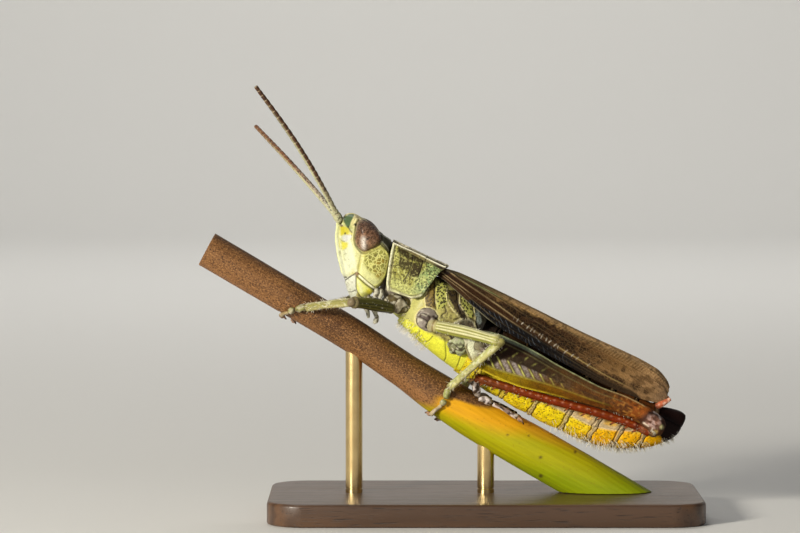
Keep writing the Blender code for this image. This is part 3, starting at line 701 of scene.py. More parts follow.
def abdomen_skin(keys, rows, columns, first, last):
    skin = oval_rings(keys, rows, columns, 2.0, first, last)
    x, z = skin[..., 0], skin[..., 2]
    joints = np.array(RINGS)
    k = np.clip(np.searchsorted(joints, x, side="right") - 1, 0, len(joints) - 2)
    share = (x - joints[k]) / (joints[k + 1] - joints[k])
    gap = np.minimum(np.abs(x - joints[k]), np.abs(x - joints[k + 1])) + 0.09 * (grain(skin, 0.18, 4) - 0.5)
    fold = smooth(FLANK_FOLD, x)
    belly = ramp(fold - z, -0.02, 0.03)
    crease = bell(z - fold, 0.035)
    seam = bell(gap, 0.085, 4) * (0.35 + 0.65 * ramp(x, 4.5, 6.0))
    edges = bell(gap - 0.105, 0.026)
    puffed = 0.05 * np.sin(np.pi * np.clip(share, 0, 1)) ** 0.7 - 0.025
    height = (
        np.where(belly > 0.5, puffed, 0.035 * share - 0.015) - 0.05 * edges + 0.035 * seam - 0.06 * crease
    )
    height = height + 0.03 * (grain(skin, 0.16, 2) - 0.5) + 0.012 * (grain(skin, 0.07, 3) - 0.5)
    clouds = grain(skin, 0.35, 5)
    paint = painted(
        YELLOW,
        (ramp(x + (clouds - 0.5), 7.2, 9.0), ORANGE),
        (fall(x, 3.4, 4.6) * 0.35, (0.55, 0.52, 0.03)),
        (ramp(grain(skin, 0.12, 8), 0.5, 0.75) * 0.45, (0.5, 0.3, 0.006)),
        (ramp(grain(skin, 0.09, 6), 0.6, 0.8) * 0.45, (0.9, 0.74, 0.1)),
    )
    back = painted(
        (0.11, 0.055, 0.022),
        (ramp(x, 7.0, 10.0) * 0.8, RUST),
        (ramp(clouds, 0.5, 0.8) * 0.5, (0.05, 0.025, 0.012)),
        (bell(share - 0.93, 0.07) * 0.6, (0.4, 0.24, 0.09)),
    )
    low = ramp(fold + 0.42 - z, -0.1, 0.12)
    pale = over(
        (0.62, 0.46, 0.24), ramp(np.sin(np.pi * share) * ramp(z - fold, 0.05, 0.22), 0.5, 0.9) * 0.75,
        (0.8, 0.44, 0.03),
    )
    paint = painted(
        back,
        (low, pale),
        (belly, paint),
        (crease * 0.8, (0.62, 0.52, 0.36)),
        (seam * (0.9 - 0.3 * (1 - belly)), (0.42, 0.33, 0.19)),
        (edges * 0.85, (0.085, 0.045, 0.018)),
        # painted shade: the front of the abdomen beside the thorax and under the wing laid near black
        (fall(x, 3.0, 3.6) * ramp(z, -1.9, -1.6), (0.018, 0.014, 0.013)),
        (ramp(x - 0.75 * fall(z, -2.2, -1.7) + (clouds - 0.5) * 0.3, 10.3, 10.6), (0.012, 0.0045, 0.0035)),
    )
    marks = grid(belly * 0.8 + 0.2, (1 - belly) * 0.15, 0)
    height = height * fall(x, 10.4, 11.0)
    return raised(skin, height), paint, marks


rings, rings_paint, rings_marks = abdomen_skin(ABDOMEN, 430, 200, 2.1, 10.46)
banded = cuticle("abdomen_rings", 0.09, ink=(0.12, 0.05, 0.01), rough=0.44, reach=0.26)
piece("abdomen_rings", [patch(rings, rings_paint, marks=rings_marks)], banded, "abdomen", "abdomen")

tip, tip_paint, _ = abdomen_skin((ABDOMEN[-1], *TIP[1:]), 90, 150, 10.42, 11.6)
groove = stroke([(10.5, -1.25), (11.0, -1.22), (11.6, -1.26)], tip[..., 0], tip[..., 2], 0.025)
tip = raised(tip, -0.03 * groove)
pitch = cuticle(
    "abdomen_black_tip", 0.09, ink=(0.004, 0.002, 0.002), rough=0.5, coat=0.02, depth=0.01, gloss=0.08
)
hairy_tail = [(rings, 520, 0.24), (tip, 120, 0.2)]
piece(
    "abdomen_end", [patch(tip, over(tip_paint, groove, (0.003, 0.002, 0.002)), marks=(0.3, 0, 0))], pitch,
    "abdomen_tip", "abdomen_tip",
)

# Cerci. A pair of short blunt orange-red prongs on the last ring, hollow cones of thin cuticle with
# pale flecks and a dark root.


def limb(path, radii, rows=60, columns=32, up=(0, 0, 1), ridges=None, cap=0.6):
    """Round limb along a smooth path with its radius at each point and rounded ends.

    ridges maps the turn round the limb and the share along it to an extra height. The turn is 0 on
    the side away from the middle of the body, a quarter on top, for a limb pointing ahead or back.
    """
    line = curved(path, 8)
    where = np.concatenate([[0], np.cumsum(np.linalg.norm(np.diff(line, axis=0), axis=1))])
    share = 0.5 - 0.5 * np.cos(np.linspace(0, math.pi, rows))
    share = 0.35 * share + 0.65 * np.linspace(0, 1, rows)
    centre = np.stack([np.interp(share * where[-1], where, line[:, k]) for k in range(3)], -1)
    knots = np.linspace(0, 1, len(radii))
    radius = smooth(np.stack([knots, radii], -1), share)
    ends = np.minimum(share * where[-1] / (cap * radius), (1 - share) * where[-1] / (cap * radius))
    radius = radius * np.sqrt(np.clip(ends * (2 - np.clip(ends, 0, 1)), 0, 1) * (ends < 1) + (ends >= 1))
    radius = np.maximum(radius, 0.004)
    ahead = np.gradient(centre, axis=0)
    ahead /= np.linalg.norm(ahead, axis=1, keepdims=True)
    side = np.cross(ahead, np.asarray(up, float))
    side /= np.linalg.norm(side, axis=1, keepdims=True)
    flip = np.sign((side[:, 1] * np.where(centre[:, 1] == 0, 1, centre[:, 1])).sum()) or 1
    side = side * flip
    top = np.cross(side, ahead)
    top *= np.sign((top @ np.asarray(up, float)).sum())
    turn = turns(columns)[None, :]
    share = np.broadcast_to(share[:, None], (rows, columns))
    turn = np.broadcast_to(turn, (rows, columns))
    reach = radius[:, None] * (1 + (ridges(turn, share) if ridges else 0))
    spots = (
        centre[:, None] + side[:, None] * (np.cos(turn) * reach)[..., None]
        + top[:, None] * (np.sin(turn) * reach)[..., None]
    )
    return spots, turn, share


prongs = []
for side in (-1, 1):
    prong, _, share = limb(
        [(10.22, side * 0.46, -1.02), (10.42, side * 0.5, -0.72), (10.62, side * 0.5, -0.4)],
        (0.13, 0.135, 0.105, 0.07), 40, 28, (0, 1, 0.2),
    )
    tone = painted(
        (0.52, 0.13, 0.055),
        (ramp(share, 0.6, 1.0) * 0.6, (0.62, 0.26, 0.15)),
        (ramp(grain(prong * (1, 1, 0.5), 0.07, 9), 0.55, 0.75) * 0.7, (0.8, 0.5, 0.36)),
        (fall(share, 0.0, 0.3) * 0.7, (0.05, 0.02, 0.015)),
    )
    prongs.append(patch(prong, tone, marks=(0.2, 0.1, 0)))
piece("cerci_pair", prongs, banded, "cercus", "cercus_left", "cercus_right")

# Pronotum. The saddle-shaped shield over the fore body: a hard pitted plate with a flat top between
# two white side keels, a fine middle keel, cross grooves, and a cream rim round its side lobes.
PRONOTUM_WIDTH = ((0.0, 1.06), (0.4, 1.1), (0.7, 1.16), (1.0, 1.26))
PRONOTUM_FRONT = (
    (-1.95, -1.92), (-1.67, -2.11), (-1.27, -2.27), (-0.74, -2.46), (-0.39, -2.57), (0.1, -2.69)
)
PRONOTUM_REAR = ((-1.95, -1.1), (-1.7, -0.82), (-1.45, -0.57), (-1.0, -0.5), (-0.3, -0.38), (0.1, -0.2))
PRONOTUM_HEM = ((0.0, -1.92), (0.5, -1.83), (1.0, -1.72))
PRONOTUM_TOP = ((0.0, 0.0), (0.5, 0.05), (1.0, 0.12))
SADDLE = (
    (0.0, 1.0), (0.05, 0.965), (0.34, 0.945), (0.66, 0.935), (0.74, 0.965), (0.8, 0.9), (0.9, 0.76),
    (0.98, 0.54), (1.0, 0.32), (0.97, 0.0),
)
TEAL = (0.125, 0.225, 0.105)


def sheet(outer, inner, paint, marks, lining):
    """A thin closed shell between two equal grids of points, its lining a plain colour."""
    rows, columns = outer.shape[:2]
    index = np.arange(rows * columns).reshape(rows, columns)
    quads = np.stack([index[:-1, :-1], index[:-1, 1:], index[1:, 1:], index[1:, :-1]], -1).reshape(-1, 4)
    back = rows * columns
    rim = np.concatenate([index[0, :-1], index[:-1, -1], index[-1, :0:-1], index[:0:-1, 0]])
    after = np.roll(rim, -1)
    faces = [
        *quads.tolist(), *(quads[:, ::-1] + back).tolist(),
        *np.stack([after, rim, rim + back, after + back], -1).tolist(),
    ]
    spots = np.vstack([outer.reshape(-1, 3), inner.reshape(-1, 3)])
    tints = np.vstack([
        np.broadcast_to(paint, outer.shape).reshape(-1, 3),
        np.broadcast_to(lining, inner.shape).reshape(-1, 3),
    ])
    notes = np.vstack([np.broadcast_to(marks, outer.shape).reshape(-1, 3), np.zeros((back, 3))])
    return place(spots), facing_out(spots, faces), tints, notes


def saddle_grid(inset):
    half = curved(SADDLE, 15)
    half = half[np.linspace(0, len(half) - 1, 128).astype(int)]
    across = np.concatenate([-half[:0:-1, 0], half[:, 0]])[None, :]
    rise = np.concatenate([half[:0:-1, 1], half[:, 1]])[None, :]
    share = np.linspace(0, 1, 150)[:, None]
    width, top, hem = (
        smooth(PRONOTUM_WIDTH, share) - inset, smooth(PRONOTUM_TOP, share) - inset,
        smooth(PRONOTUM_HEM, share),
    )
    z = hem + rise * (top - hem)
    front, rear = smooth(PRONOTUM_FRONT, z), smooth(PRONOTUM_REAR, z)
    dip = 0.1 * np.clip(1 - np.abs(across) / 0.72, 0, 1) * share
    return (
        grid(front + share * (rear - front) + dip * 0.9, across * width, z), np.broadcast_to(share, z.shape),
        across,
    )


saddle, share, across = saddle_grid(0.0)
x, y, z = np.moveaxis(saddle, -1, 0)
disc = ramp(z, -0.13, -0.08)
flank = 1 - disc
front_edge, rear_edge = smooth(PRONOTUM_FRONT, z), smooth(PRONOTUM_REAR, z)
hem_line = [
    (-2.07, -1.66), (-1.86, -1.84), (-1.6, -1.82), (-1.23, -1.82), (-0.95, -1.72), (-0.77, -1.6),
    (-0.58, -1.42),
]
front_rim = bell(x - front_edge - 0.055, 0.055) * flank
rear_rim = bell(x - rear_edge + 0.03, 0.035)
hem_rim = most(stroke(hem_line, x, z, 0.045), bell(z - smooth(PRONOTUM_HEM, share) - 0.03, 0.04)) * flank
rims = most(front_rim, hem_rim)
behind_rim = most(
    bell(x - front_edge - 0.165, 0.032), stroke([(a, b + 0.1) for a, b in hem_line], x, z, 0.03)
) * flank
side_keel = bell(np.abs(across) - 0.755 + 0.02 * bell(x + 1.5, 0.5), 0.014, 4) * ramp(z, -0.25, -0.1)
keel = bell(y, 0.022) * ramp(z, -0.3, -0.1)
sulci = most(
    stroke([(-1.62, -0.2), (-1.55, -0.49), (-1.5, -0.87), (-1.52, -1.28)], x, z, 0.02),
    stroke([(-1.18, -0.14), (-1.13, -0.42), (-1.07, -0.8)], x, z, 0.02),
    stroke([(-1.5, -0.9), (-1.3, -0.92), (-1.1, -0.84)], x, z, 0.016) * 0.6,
) * flank
sulci = most(sulci, bell(x + 1.12, 0.02) * disc * (1 - keel))
saddle = raised(
    saddle,
    0.03 * rims + 0.02 * rear_rim - 0.025 * behind_rim + 0.06 * side_keel + 0.05 * keel - 0.035 * sulci
    + 0.012 * (grain(saddle, 0.11, 3) - 0.5) - 0.015,
    around=False,
)
cloud, small = grain(saddle, 0.42, 11), grain(saddle, 0.1, 12)
dark = most(
    area([
        (-2.34, -0.04), (-2.28, -0.3), (-1.9, -0.36), (-1.62, -0.34), (-1.2, -0.26), (-1.02, -0.14),
        (-1.02, 0.06),
    ], x, z, 0.05),
    area([(-2.16, -0.38), (-1.62, -0.42), (-1.54, -0.76), (-1.72, -0.84), (-2.0, -0.78)], x, z, 0.07) * 0.92,
    area([(-1.52, -0.4), (-1.16, -0.28), (-1.09, -0.78), (-1.42, -0.88)], x, z, 0.04),
) * flank
flecks = grain(saddle, 0.055, 13)
paint = painted(
    (0.345, 0.325, 0.07),
    (ramp(x + (cloud - 0.5) * 0.5, -1.25, -0.85), (0.235, 0.315, 0.115)),
    (ramp(cloud, 0.55, 0.8) * 0.5, (0.5, 0.5, 0.15)),
    (fall(z, -1.55, -1.1) * 0.7, (0.52, 0.54, 0.19)),
    (fall(z, -1.2, -0.2) * ramp(x, -0.85, -0.55) * 0.4, TEAL),
    (dark * ramp(small + cloud, 0.05, 0.55) * 0.97, (0.027, 0.016, 0.005)),
    (
        stroke([(-2.24, -0.36), (-1.9, -0.42), (-1.6, -0.38)], x, z, 0.028) * ramp(cloud, 0.3, 0.45) * flank
        * 0.8,
        (0.4, 0.36, 0.11),
    ),
    (stroke([(-1.52, -0.94), (-1.3, -0.97), (-1.06, -0.88)], x, z, 0.03) * flank * 0.8, (0.58, 0.57, 0.22)),
    (ramp(flecks, 0.62, 0.76) * flank * 0.65 * (1 - 0.7 * dark), (0.66, 0.68, 0.25)),
    (fall(flecks, 0.22, 0.36) * flank * ramp(z + 0.25 * cloud, -1.5, -0.9) * 0.8, (0.07, 0.056, 0.016)),
    (dark * ramp(flecks, 0.68, 0.78) * fall(z, -0.46, -0.34) * 0.6, (0.34, 0.3, 0.1)),
)
disc_paint = painted(
    (0.19, 0.135, 0.06),
    (ramp(np.abs(across), 0.35, 0.62) * ramp(np.abs(x + 1.35), 0.3, 0.7), (0.035, 0.022, 0.012)),
    (ramp(cloud, 0.4, 0.8) * 0.5, (0.25, 0.25, 0.09)),
)
paint = painted(
    paint,
    (disc, disc_paint),
    (behind_rim * 0.75, (0.11, 0.085, 0.03)),
    (sulci, (0.028, 0.019, 0.009)),
    (rims * 0.95, (0.78, 0.76, 0.53)),
    (rims * ramp(small, 0.6, 0.75) * 0.6, (0.3, 0.25, 0.12)),
    (rear_rim * 0.5, (0.1, 0.1, 0.04)),
    (side_keel * 0.92, (0.84, 0.8, 0.6)),
    (keel * 0.9, (0.8, 0.75, 0.54)),
)
dotted = (
    (0.85 * flank * (1 - 0.45 * fall(z, -1.6, -1.0)) + 0.5 * disc)
    * (1 - np.clip(rims + side_keel + sulci, 0, 1))
)
under, _, _ = saddle_grid(0.1)
under[..., 1] *= 0.985
piece(
    "pronotum_shield", [sheet(saddle, under, paint, grid(dotted, dotted * 0.1, 0), (0.12, 0.1, 0.05))],
    cuticle("pronotum_plate", 0.085, ink=(0.045, 0.038, 0.012), reach=0.38), "pronotum", "pronotum",
)

# Head. One hard capsule with a slanting face: a raised frontal ridge with cream edges, the sockets
# of the feelers, the cheeks with their brown net, and the lip, jaws and lip shield closed below.
HEAD = (
    (0.262, -4.42, -4.16, 0.05), (0.25, -4.56, -4.02, 0.17), (0.19, -4.76, -3.8, 0.38),
    (0.09, -4.89, -3.45, 0.56), (-0.02, -4.98, -2.72, 0.7), (-0.4, -5.06, -2.52, 0.92),
    (-0.9, -4.93, -2.28, 1.0), (-1.5, -4.56, -2.16, 1.05), (-2.05, -4.1, -2.24, 1.0),
    (-2.5, -3.69, -2.42, 0.82), (-2.85, -3.34, -2.62, 0.54), (-3.0, -3.13, -2.78, 0.26),
)
EYE = dict(centre=(-3.71, 0.8, -0.37), thick=0.46)
EYE_OUTLINE = (
    (-4.33, 0.04), (-4.25, 0.17), (-4.04, 0.215), (-3.77, 0.2), (-3.5, 0.1), (-3.27, -0.04), (-3.15, -0.18),
    (-3.12, -0.35), (-3.22, -0.6), (-3.36, -0.83), (-3.48, -0.97), (-3.66, -1.0), (-3.96, -0.87),
    (-4.14, -0.65), (-4.24, -0.38), (-4.33, -0.07),
)
SOCKET, OCELLUS, FACE_OCELLUS = (-5.0, 0.22, -0.36), (-4.37, 0.62, -0.17), (-4.98, 0.0, -0.72)
FACE, CHEEK = (0.5, 0.505, 0.2), (0.5, 0.46, 0.12)


def eye_radius(turn):
    """How far the outline of the eye lies from its middle, at each turn round it."""
    x, z = (curved((*EYE_OUTLINE, EYE_OUTLINE[0]), 8) - EYE["centre"][::2]).T
    return np.interp(turn, np.arctan2(z, x), np.hypot(x, z), period=math.tau)


def eye_reach(x, z):
    """1 on the outline of the eye in the side view, less inside it."""
    x, z = x - EYE["centre"][0], z - EYE["centre"][2]
    return np.hypot(x, z) / eye_radius(np.arctan2(z, x))


rows, columns = 290, 300
z = np.sort(
    np.concatenate(
        [np.linspace(0.258, 0.12, 40), np.linspace(0.115, -0.06, 45), np.linspace(-0.07, -3.0, rows - 85)]
    )
)[::-1][:, None]
turn = turns(columns)[None, :] + 0 * z
front, back, width = (smooth(HEAD[::-1], z, column) for column in (1, 2, 3))
waist = front + (back - front) * 0.62
reach = np.where(np.sin(turn) > 0, waist - front, back - waist)
boxy = np.where(np.sin(turn) > 0, 1.0, 1.0 - 0.5 * fall(z, -0.5, 0.0) * ramp(z, -2.6, -2.1))
skull = grid(waist - fuller(np.sin(turn), boxy) * reach, width * fuller(np.cos(turn), boxy), z)
x, y, z = np.moveaxis(skull, -1, 0)
side_y = np.abs(y)
fore = ramp(np.sin(turn), 0.55, 0.85)
ridge_half = 0.125 + 0.05 * fall(z, -2.2, -0.6)
in_ridge = fall(z, -0.34, -0.18) * ramp(z, -2.4, -2.15) * fore
ridge = ramp(ridge_half - side_y, -0.03, 0.025) * in_ridge
ridge_edge = bell(side_y - ridge_half, 0.035) * in_ridge
face_keel = stroke(
    [(-4.93, -0.6), (-4.7, -0.98), (-4.36, -1.45), (-4.02, -1.85), (-3.74, -2.18)], x, z, 0.045
) * ramp(side_y, 0.28, 0.4)
socket = np.sqrt((x - SOCKET[0]) ** 2 + (side_y - SOCKET[1] - 0.03) ** 2 + (z - SOCKET[2]) ** 2)
socket_rim, socket_pit = bell(socket - 0.185, 0.045), bell(socket, 0.13, 4)
ocellus = np.sqrt((x - OCELLUS[0]) ** 2 + (side_y - OCELLUS[1]) ** 2 + (z - OCELLUS[2]) ** 2)
third = np.sqrt((x - FACE_OCELLUS[0]) ** 2 + y**2 + (z - FACE_OCELLUS[2]) ** 2)
eye = eye_reach(x, z) + 4 * fall(side_y, 0.2, 0.45)
orbit, orbit_groove = bell(eye - 1.17, 0.07), bell(eye - 1.03, 0.05)
under_eye = stroke([(-3.61, -1.08), (-3.51, -1.42), (-3.39, -1.83)], x, z, 0.024)
cheek_band = stroke([(-4.25, -0.92), (-3.95, -1.29), (-3.68, -1.62), (-3.48, -1.84)], x, z, 0.105)
front_seam = stroke([(-3.72, -2.5), (-3.58, -2.2), (-3.42, -1.9)], x, z, 0.024)
front_seam = most(front_seam, bell(z + 2.42 - 0.22 * side_y, 0.026) * fore * fall(side_y, 0.5, 0.62))
cheek_seam = most(
    stroke([(-3.36, -1.86), (-3.2, -1.89), (-2.81, -1.98), (-2.42, -2.05)], x, z, 0.016),
    stroke([(-3.34, -2.02), (-3.05, -2.07), (-2.83, -2.13), (-2.4, -2.2)], x, z, 0.022),
)
jaw_seam = stroke([(-3.36, -2.02), (-3.17, -2.39), (-3.02, -2.57), (-2.83, -2.69)], x, z, 0.024)
lip_seam = stroke([(-3.5, -2.86), (-3.27, -2.78), (-3.08, -2.56)], x, z, 0.02)
rear_seam = stroke([(-2.86, -2.7), (-2.66, -2.72), (-2.46, -2.6), (-2.38, -2.36)], x, z, 0.026)
lip_split = bell(side_y, 0.02) * fall(z, -2.8, -2.7) * fore
seams = most(front_seam, cheek_seam, jaw_seam, lip_seam * 0.8, rear_seam, lip_split)
jaw = area([
    (-3.3, -2.06), (-3.11, -2.05), (-2.8, -2.14), (-2.49, -2.2), (-2.4, -2.36), (-2.48, -2.58),
    (-2.66, -2.69), (-2.86, -2.64), (-3.08, -2.48),
], x, z, 0.07)
gena = area([
    (-3.48, -1.04), (-3.16, -0.6), (-2.9, -0.45), (-2.5, -0.6), (-2.36, -1.01), (-2.27, -1.38), (-2.3, -1.81),
    (-2.42, -2.04), (-3.18, -1.92), (-3.36, -1.65),
], x, z, 0.06) * ramp(side_y, 0.3, 0.6)
cheek_rim = stroke(
    [(-2.72, -0.52), (-2.5, -0.7), (-2.39, -0.99), (-2.3, -1.38), (-2.32, -1.78), (-2.46, -1.99)], x, z, 0.05
) * ramp(side_y, 0.3, 0.6)
netted = area([
    (-3.42, -1.03), (-3.12, -0.6), (-2.8, -0.58), (-2.54, -0.8), (-2.42, -1.13), (-2.44, -1.6),
    (-2.74, -1.58), (-2.99, -1.56), (-3.32, -1.34),
], x, z, 0.06) * ramp(side_y, 0.3, 0.6)
temple = area([
    (-5.0, -0.12), (-4.89, 0.08), (-4.76, 0.26), (-4.62, 0.26), (-4.61, 0.06), (-4.61, -0.12), (-4.58, -0.26),
    (-4.61, -0.41), (-4.73, -0.36), (-4.88, -0.26),
], x, z, 0.03) * ramp(side_y, 0.02, 0.06)
knuckle = bell(np.hypot(x + 3.37, z + 1.92), 0.085, 4) * ramp(side_y, 0.3, 0.6)
crown_keel = bell(side_y, 0.022) * ramp(z, -0.1, 0.1) * ramp(np.sin(turn), -1.2, -0.2)
lumps = grain(skull, 0.28, 21) - 0.5
height = (
    0.04 * ridge + 0.035 * ridge_edge - 0.03 * ridge * (1 - ridge_edge) * fall(z, -0.9, -0.5)
    + 0.03 * face_keel + 0.04 * socket_rim - 0.1 * socket_pit + 0.03 * orbit - 0.05 * orbit_groove
    - 0.03 * under_eye - 0.045 * seams + 0.07 * jaw + 0.035 * gena + 0.025 * cheek_rim - 0.03 * temple
    + 0.05 * knuckle + 0.035 * bell(ocellus, 0.085, 4) + 0.03 * bell(third, 0.06, 4) + 0.02 * crown_keel
    + 0.014 * lumps + 0.01 * (grain(skull, 0.1, 22) - 0.5) - 0.045
)
skull = raised(skull, height)

fine, tiny = grain(skull, 0.16, 23), grain(skull, 0.07, 24)
occiput = area(
    [(-3.4, 0.2), (-2.6, 0.05), (-2.45, -0.45), (-2.72, -0.42), (-3.0, -0.28), (-3.22, -0.1)], x, z, 0.04
)
lips = area([
    (-3.8, -2.44), (-3.46, -1.98), (-3.34, -2.08), (-3.17, -2.4), (-3.0, -2.6), (-3.04, -2.95), (-3.6, -2.95)
], x, z, 0.04)
paint = painted(
    FACE,
    (ramp(lumps, 0.0, 0.3) * 0.55, (0.66, 0.665, 0.36)),
    (ramp(fine, 0.58, 0.75) * ramp(side_y, 0.16, 0.24) * fall(x, -3.9, -3.6) * 0.45, (0.3, 0.315, 0.085)),
    (ramp(tiny, 0.66, 0.8) * fall(x, -3.8, -3.5) * 0.4, (0.26, 0.26, 0.075)),
    (ramp(-z - 0.2 * x, 1.45, 2.3) * 0.85, (0.68, 0.7, 0.5)),
    (ramp(x, -3.75, -3.45) * fall(z, -0.5, -0.2), CHEEK),
    (
        area(
            [(-4.3, -0.45), (-4.02, -0.95), (-3.62, -1.1), (-3.52, -1.5), (-3.8, -1.4), (-4.15, -0.98)], x, z,
            0.08,
        ) * 0.8,
        (0.56, 0.54, 0.2),
    ),
    (cheek_band * 0.85, (0.66, 0.67, 0.43)),
    (gena * 0.9, (0.52, 0.5, 0.125)),
    (gena * ramp(-z - 0.35 * (x + 3), 1.25, 1.75) * 0.92, (0.7, 0.7, 0.32)),
    (netted * 0.92, (0.27, 0.26, 0.05)),
    (netted * ramp(tiny, 0.55, 0.75) * 0.6, (0.13, 0.095, 0.022)),
    (
        area([(-2.95, -1.04), (-2.55, -0.78), (-2.36, -1.2), (-2.42, -1.58), (-2.72, -1.6)], x, z, 0.1)
        * ramp(fine, 0.3, 0.6) * ramp(side_y, 0.3, 0.6) * 0.65,
        (0.34, 0.215, 0.016),
    ),
    (cheek_rim * 0.85, (0.66, 0.64, 0.17)),
    (
        area([
            (-4.94, -0.56), (-4.8, -0.45), (-4.54, -0.42), (-4.34, -0.5), (-4.33, -0.64), (-4.48, -0.7),
            (-4.62, -0.72), (-4.7, -0.84), (-4.83, -0.86),
        ], x, z, 0.035) * ramp(side_y, 0.14, 0.2) * 0.95,
        (0.5, 0.43, 0.012),
    ),
    (
        area([
            (-4.8, -0.9), (-4.66, -1.0), (-4.52, -1.03), (-4.33, -0.98), (-4.26, -1.15), (-4.39, -1.36),
            (-4.58, -1.29),
        ], x, z, 0.045) * ramp(side_y, 0.14, 0.22) * 0.92,
        (0.62, 0.56, 0.035),
    ),
    # painted highlight: a whitish lilac spot on the face behind and below the feeler socket
    (
        area([
            (-4.66, -0.88), (-4.58, -0.75), (-4.36, -0.61), (-4.27, -0.66), (-4.33, -0.81), (-4.39, -0.95),
            (-4.53, -0.97),
        ], x, z, 0.05) * ramp(side_y, 0.2, 0.3) * 0.75,
        (0.52, 0.52, 0.54),
    ),
    (
        bell(np.hypot(x + 4.32, z + 1.5), 0.14, 4) * ramp(fine, 0.4, 0.6) * ramp(side_y, 0.2, 0.3) * 0.75,
        (0.25, 0.26, 0.07),
    ),
    (
        stroke([(-4.68, -0.96), (-4.4, -1.34), (-4.1, -1.68)], x, z, 0.03) * ramp(side_y, 0.28, 0.4) * 0.5,
        (0.3, 0.3, 0.07),
    ),
    (ramp(z, -0.32, -0.18) * fall(x, -4.22, -4.02), (0.62, 0.56, 0.25)),
    (ramp(z, 0.0, 0.14), (0.6, 0.53, 0.26)),
    (ramp(z, 0.04, 0.16) * ramp(tiny, 0.45, 0.7) * ramp(x, -4.6, -4.4) * 0.7, (0.33, 0.23, 0.12)),
    (temple * 0.97, (0.058, 0.112, 0.046)),
    (
        stroke([(-4.64, -0.34), (-4.5, -0.44), (-4.37, -0.5)], x, z, 0.035) * ramp(side_y, 0.1, 0.2) * 0.9,
        (0.05, 0.05, 0.018),
    ),
    (bell(np.hypot(x + 4.88, z + 0.47), 0.06, 4) * 0.85, (0.1, 0.045, 0.012)),
    (bell(np.hypot(x + 4.6, z + 0.68), 0.05, 4) * ramp(side_y, 0.15, 0.25) * 0.9, (0.06, 0.045, 0.015)),
    (
        stroke([(-4.72, -0.98), (-4.58, -1.02), (-4.46, -0.99)], x, z, 0.022) * ramp(side_y, 0.2, 0.3) * 0.7,
        (0.13, 0.11, 0.025),
    ),
    (
        most(occiput, ramp(x, -3.35, -3.1) * ramp(z, -0.15, 0.0) * ramp(side_y, 0.22, 0.32)) * 0.92,
        (0.022, 0.017, 0.008),
    ),
    (bell(side_y - 0.2, 0.06) * ramp(x, -3.9, -3.6) * ramp(z, -0.2, 0.0) * 0.6, (0.5, 0.46, 0.22)),
    (stroke([(-3.07, -0.23), (-2.82, -0.3), (-2.6, -0.42)], x, z, 0.022), (0.6, 0.57, 0.38)),
    (stroke([(-3.1, -0.36), (-2.86, -0.4), (-2.62, -0.52)], x, z, 0.035) * 0.9, (0.035, 0.027, 0.012)),
    (jaw * 0.95, (0.74, 0.74, 0.2)),
    # painted highlight: a pale sweep along the upper front of the jaw
    (stroke([(-3.2, -2.16), (-2.98, -2.3), (-2.86, -2.48)], x, z, 0.075) * jaw * 0.8, (0.78, 0.79, 0.45)),
    (bell(np.hypot(x + 2.57, z + 2.31), 0.13, 4) * jaw * 0.85, (0.7, 0.62, 0.025)),
    (lips * 0.9, (0.7, 0.72, 0.6)),
    (lips * ramp(tiny, 0.6, 0.75) * 0.6, (0.34, 0.32, 0.22)),
    (fall(z, -2.85, -2.6) * (1 - lips) * (1 - jaw) * 0.7, (0.3, 0.24, 0.12)),
    (
        stroke([(-3.26, -1.945), (-2.82, -2.05), (-2.43, -2.125)], x, z, 0.034) * ramp(side_y, 0.3, 0.6)
        * 0.95,
        (0.84, 0.83, 0.66),
    ),
    (ridge * 0.55, (0.36, 0.39, 0.07)),
    (ridge_edge * 0.9, (0.75, 0.77, 0.38)),
    (face_keel * 0.6, (0.74, 0.75, 0.46)),
    (orbit * 0.45 * fall(x, -3.6, -3.35), (0.74, 0.7, 0.36)),
    (orbit_groove * 0.65, (0.13, 0.085, 0.035)),
    (under_eye * 0.65, (0.24, 0.21, 0.06)),
    (seams * 0.92, (0.035, 0.022, 0.01)),
    (knuckle * 0.9, (0.235, 0.135, 0.08)),
    (socket_pit * 0.9, (0.09, 0.05, 0.02)),
    (most(bell(ocellus, 0.08, 4), bell(third, 0.045, 4)), (0.008, 0.006, 0.005)),
)
net = netted * (1 - cheek_rim)
marks = grid(0.55 * ramp(fine, 0.4, 0.65) * (1 - jaw) * (1 - cheek_band), net, 0)
head_skin = cuticle(
    "head_skin", 0.085, ink=(0.17, 0.14, 0.035), rough=0.42, coat=0.12, mottle=0.36, depth=0.022, reach=0.25,
    gloss=0.28, web=(0.74, 0.71, 0.24), mesh=2.0,
)
piece("head_capsule", [patch(skull, paint, marks=marks)], head_skin, "head", "head", "mouthparts")

# Compound eyes. Two brown ovals of fine facets with a soft shine, a painted highlight low down,
# clouded darker on top, with a pale band along the front and lower edge; each sits in a shallow
# orbit of the head.


def facets(name):
    lens = Finish(name, 0.38, coat_weight=0.12, coat_roughness=0.22, specular_ior_level=0.25)
    spot = lens.spot()
    cells = lens.seams(36.0, spot, 0.35)
    cloud = lens.noise(0.15, spot, 3.0, 0.65)
    small = lens.noise(0.055, spot, 2.0)
    grit = lens.mark()
    toned = lens.tone(lens.kept("paint"), (cloud.between(0.38, 0.62) * 1.15 - 0.68) * grit + 1.0)
    toned = lens.mix(small.between(0.54, 0.62) * 0.65, toned, (0.44, 0.25, 0.15))
    toned = lens.mix((1 - small).between(0.54, 0.62) * grit * 0.75, toned, (0.035, 0.015, 0.009))
    toned = lens.mix(cells.between(0.1, 0.0) * grit * 0.4, toned, (0.02, 0.01, 0.008))
    return lens.wear(
        toned, 0.32 + cloud * 0.16, cells.between(0.0, 0.22) + cloud * 1.5 + small * 0.8, depth=0.012
    )


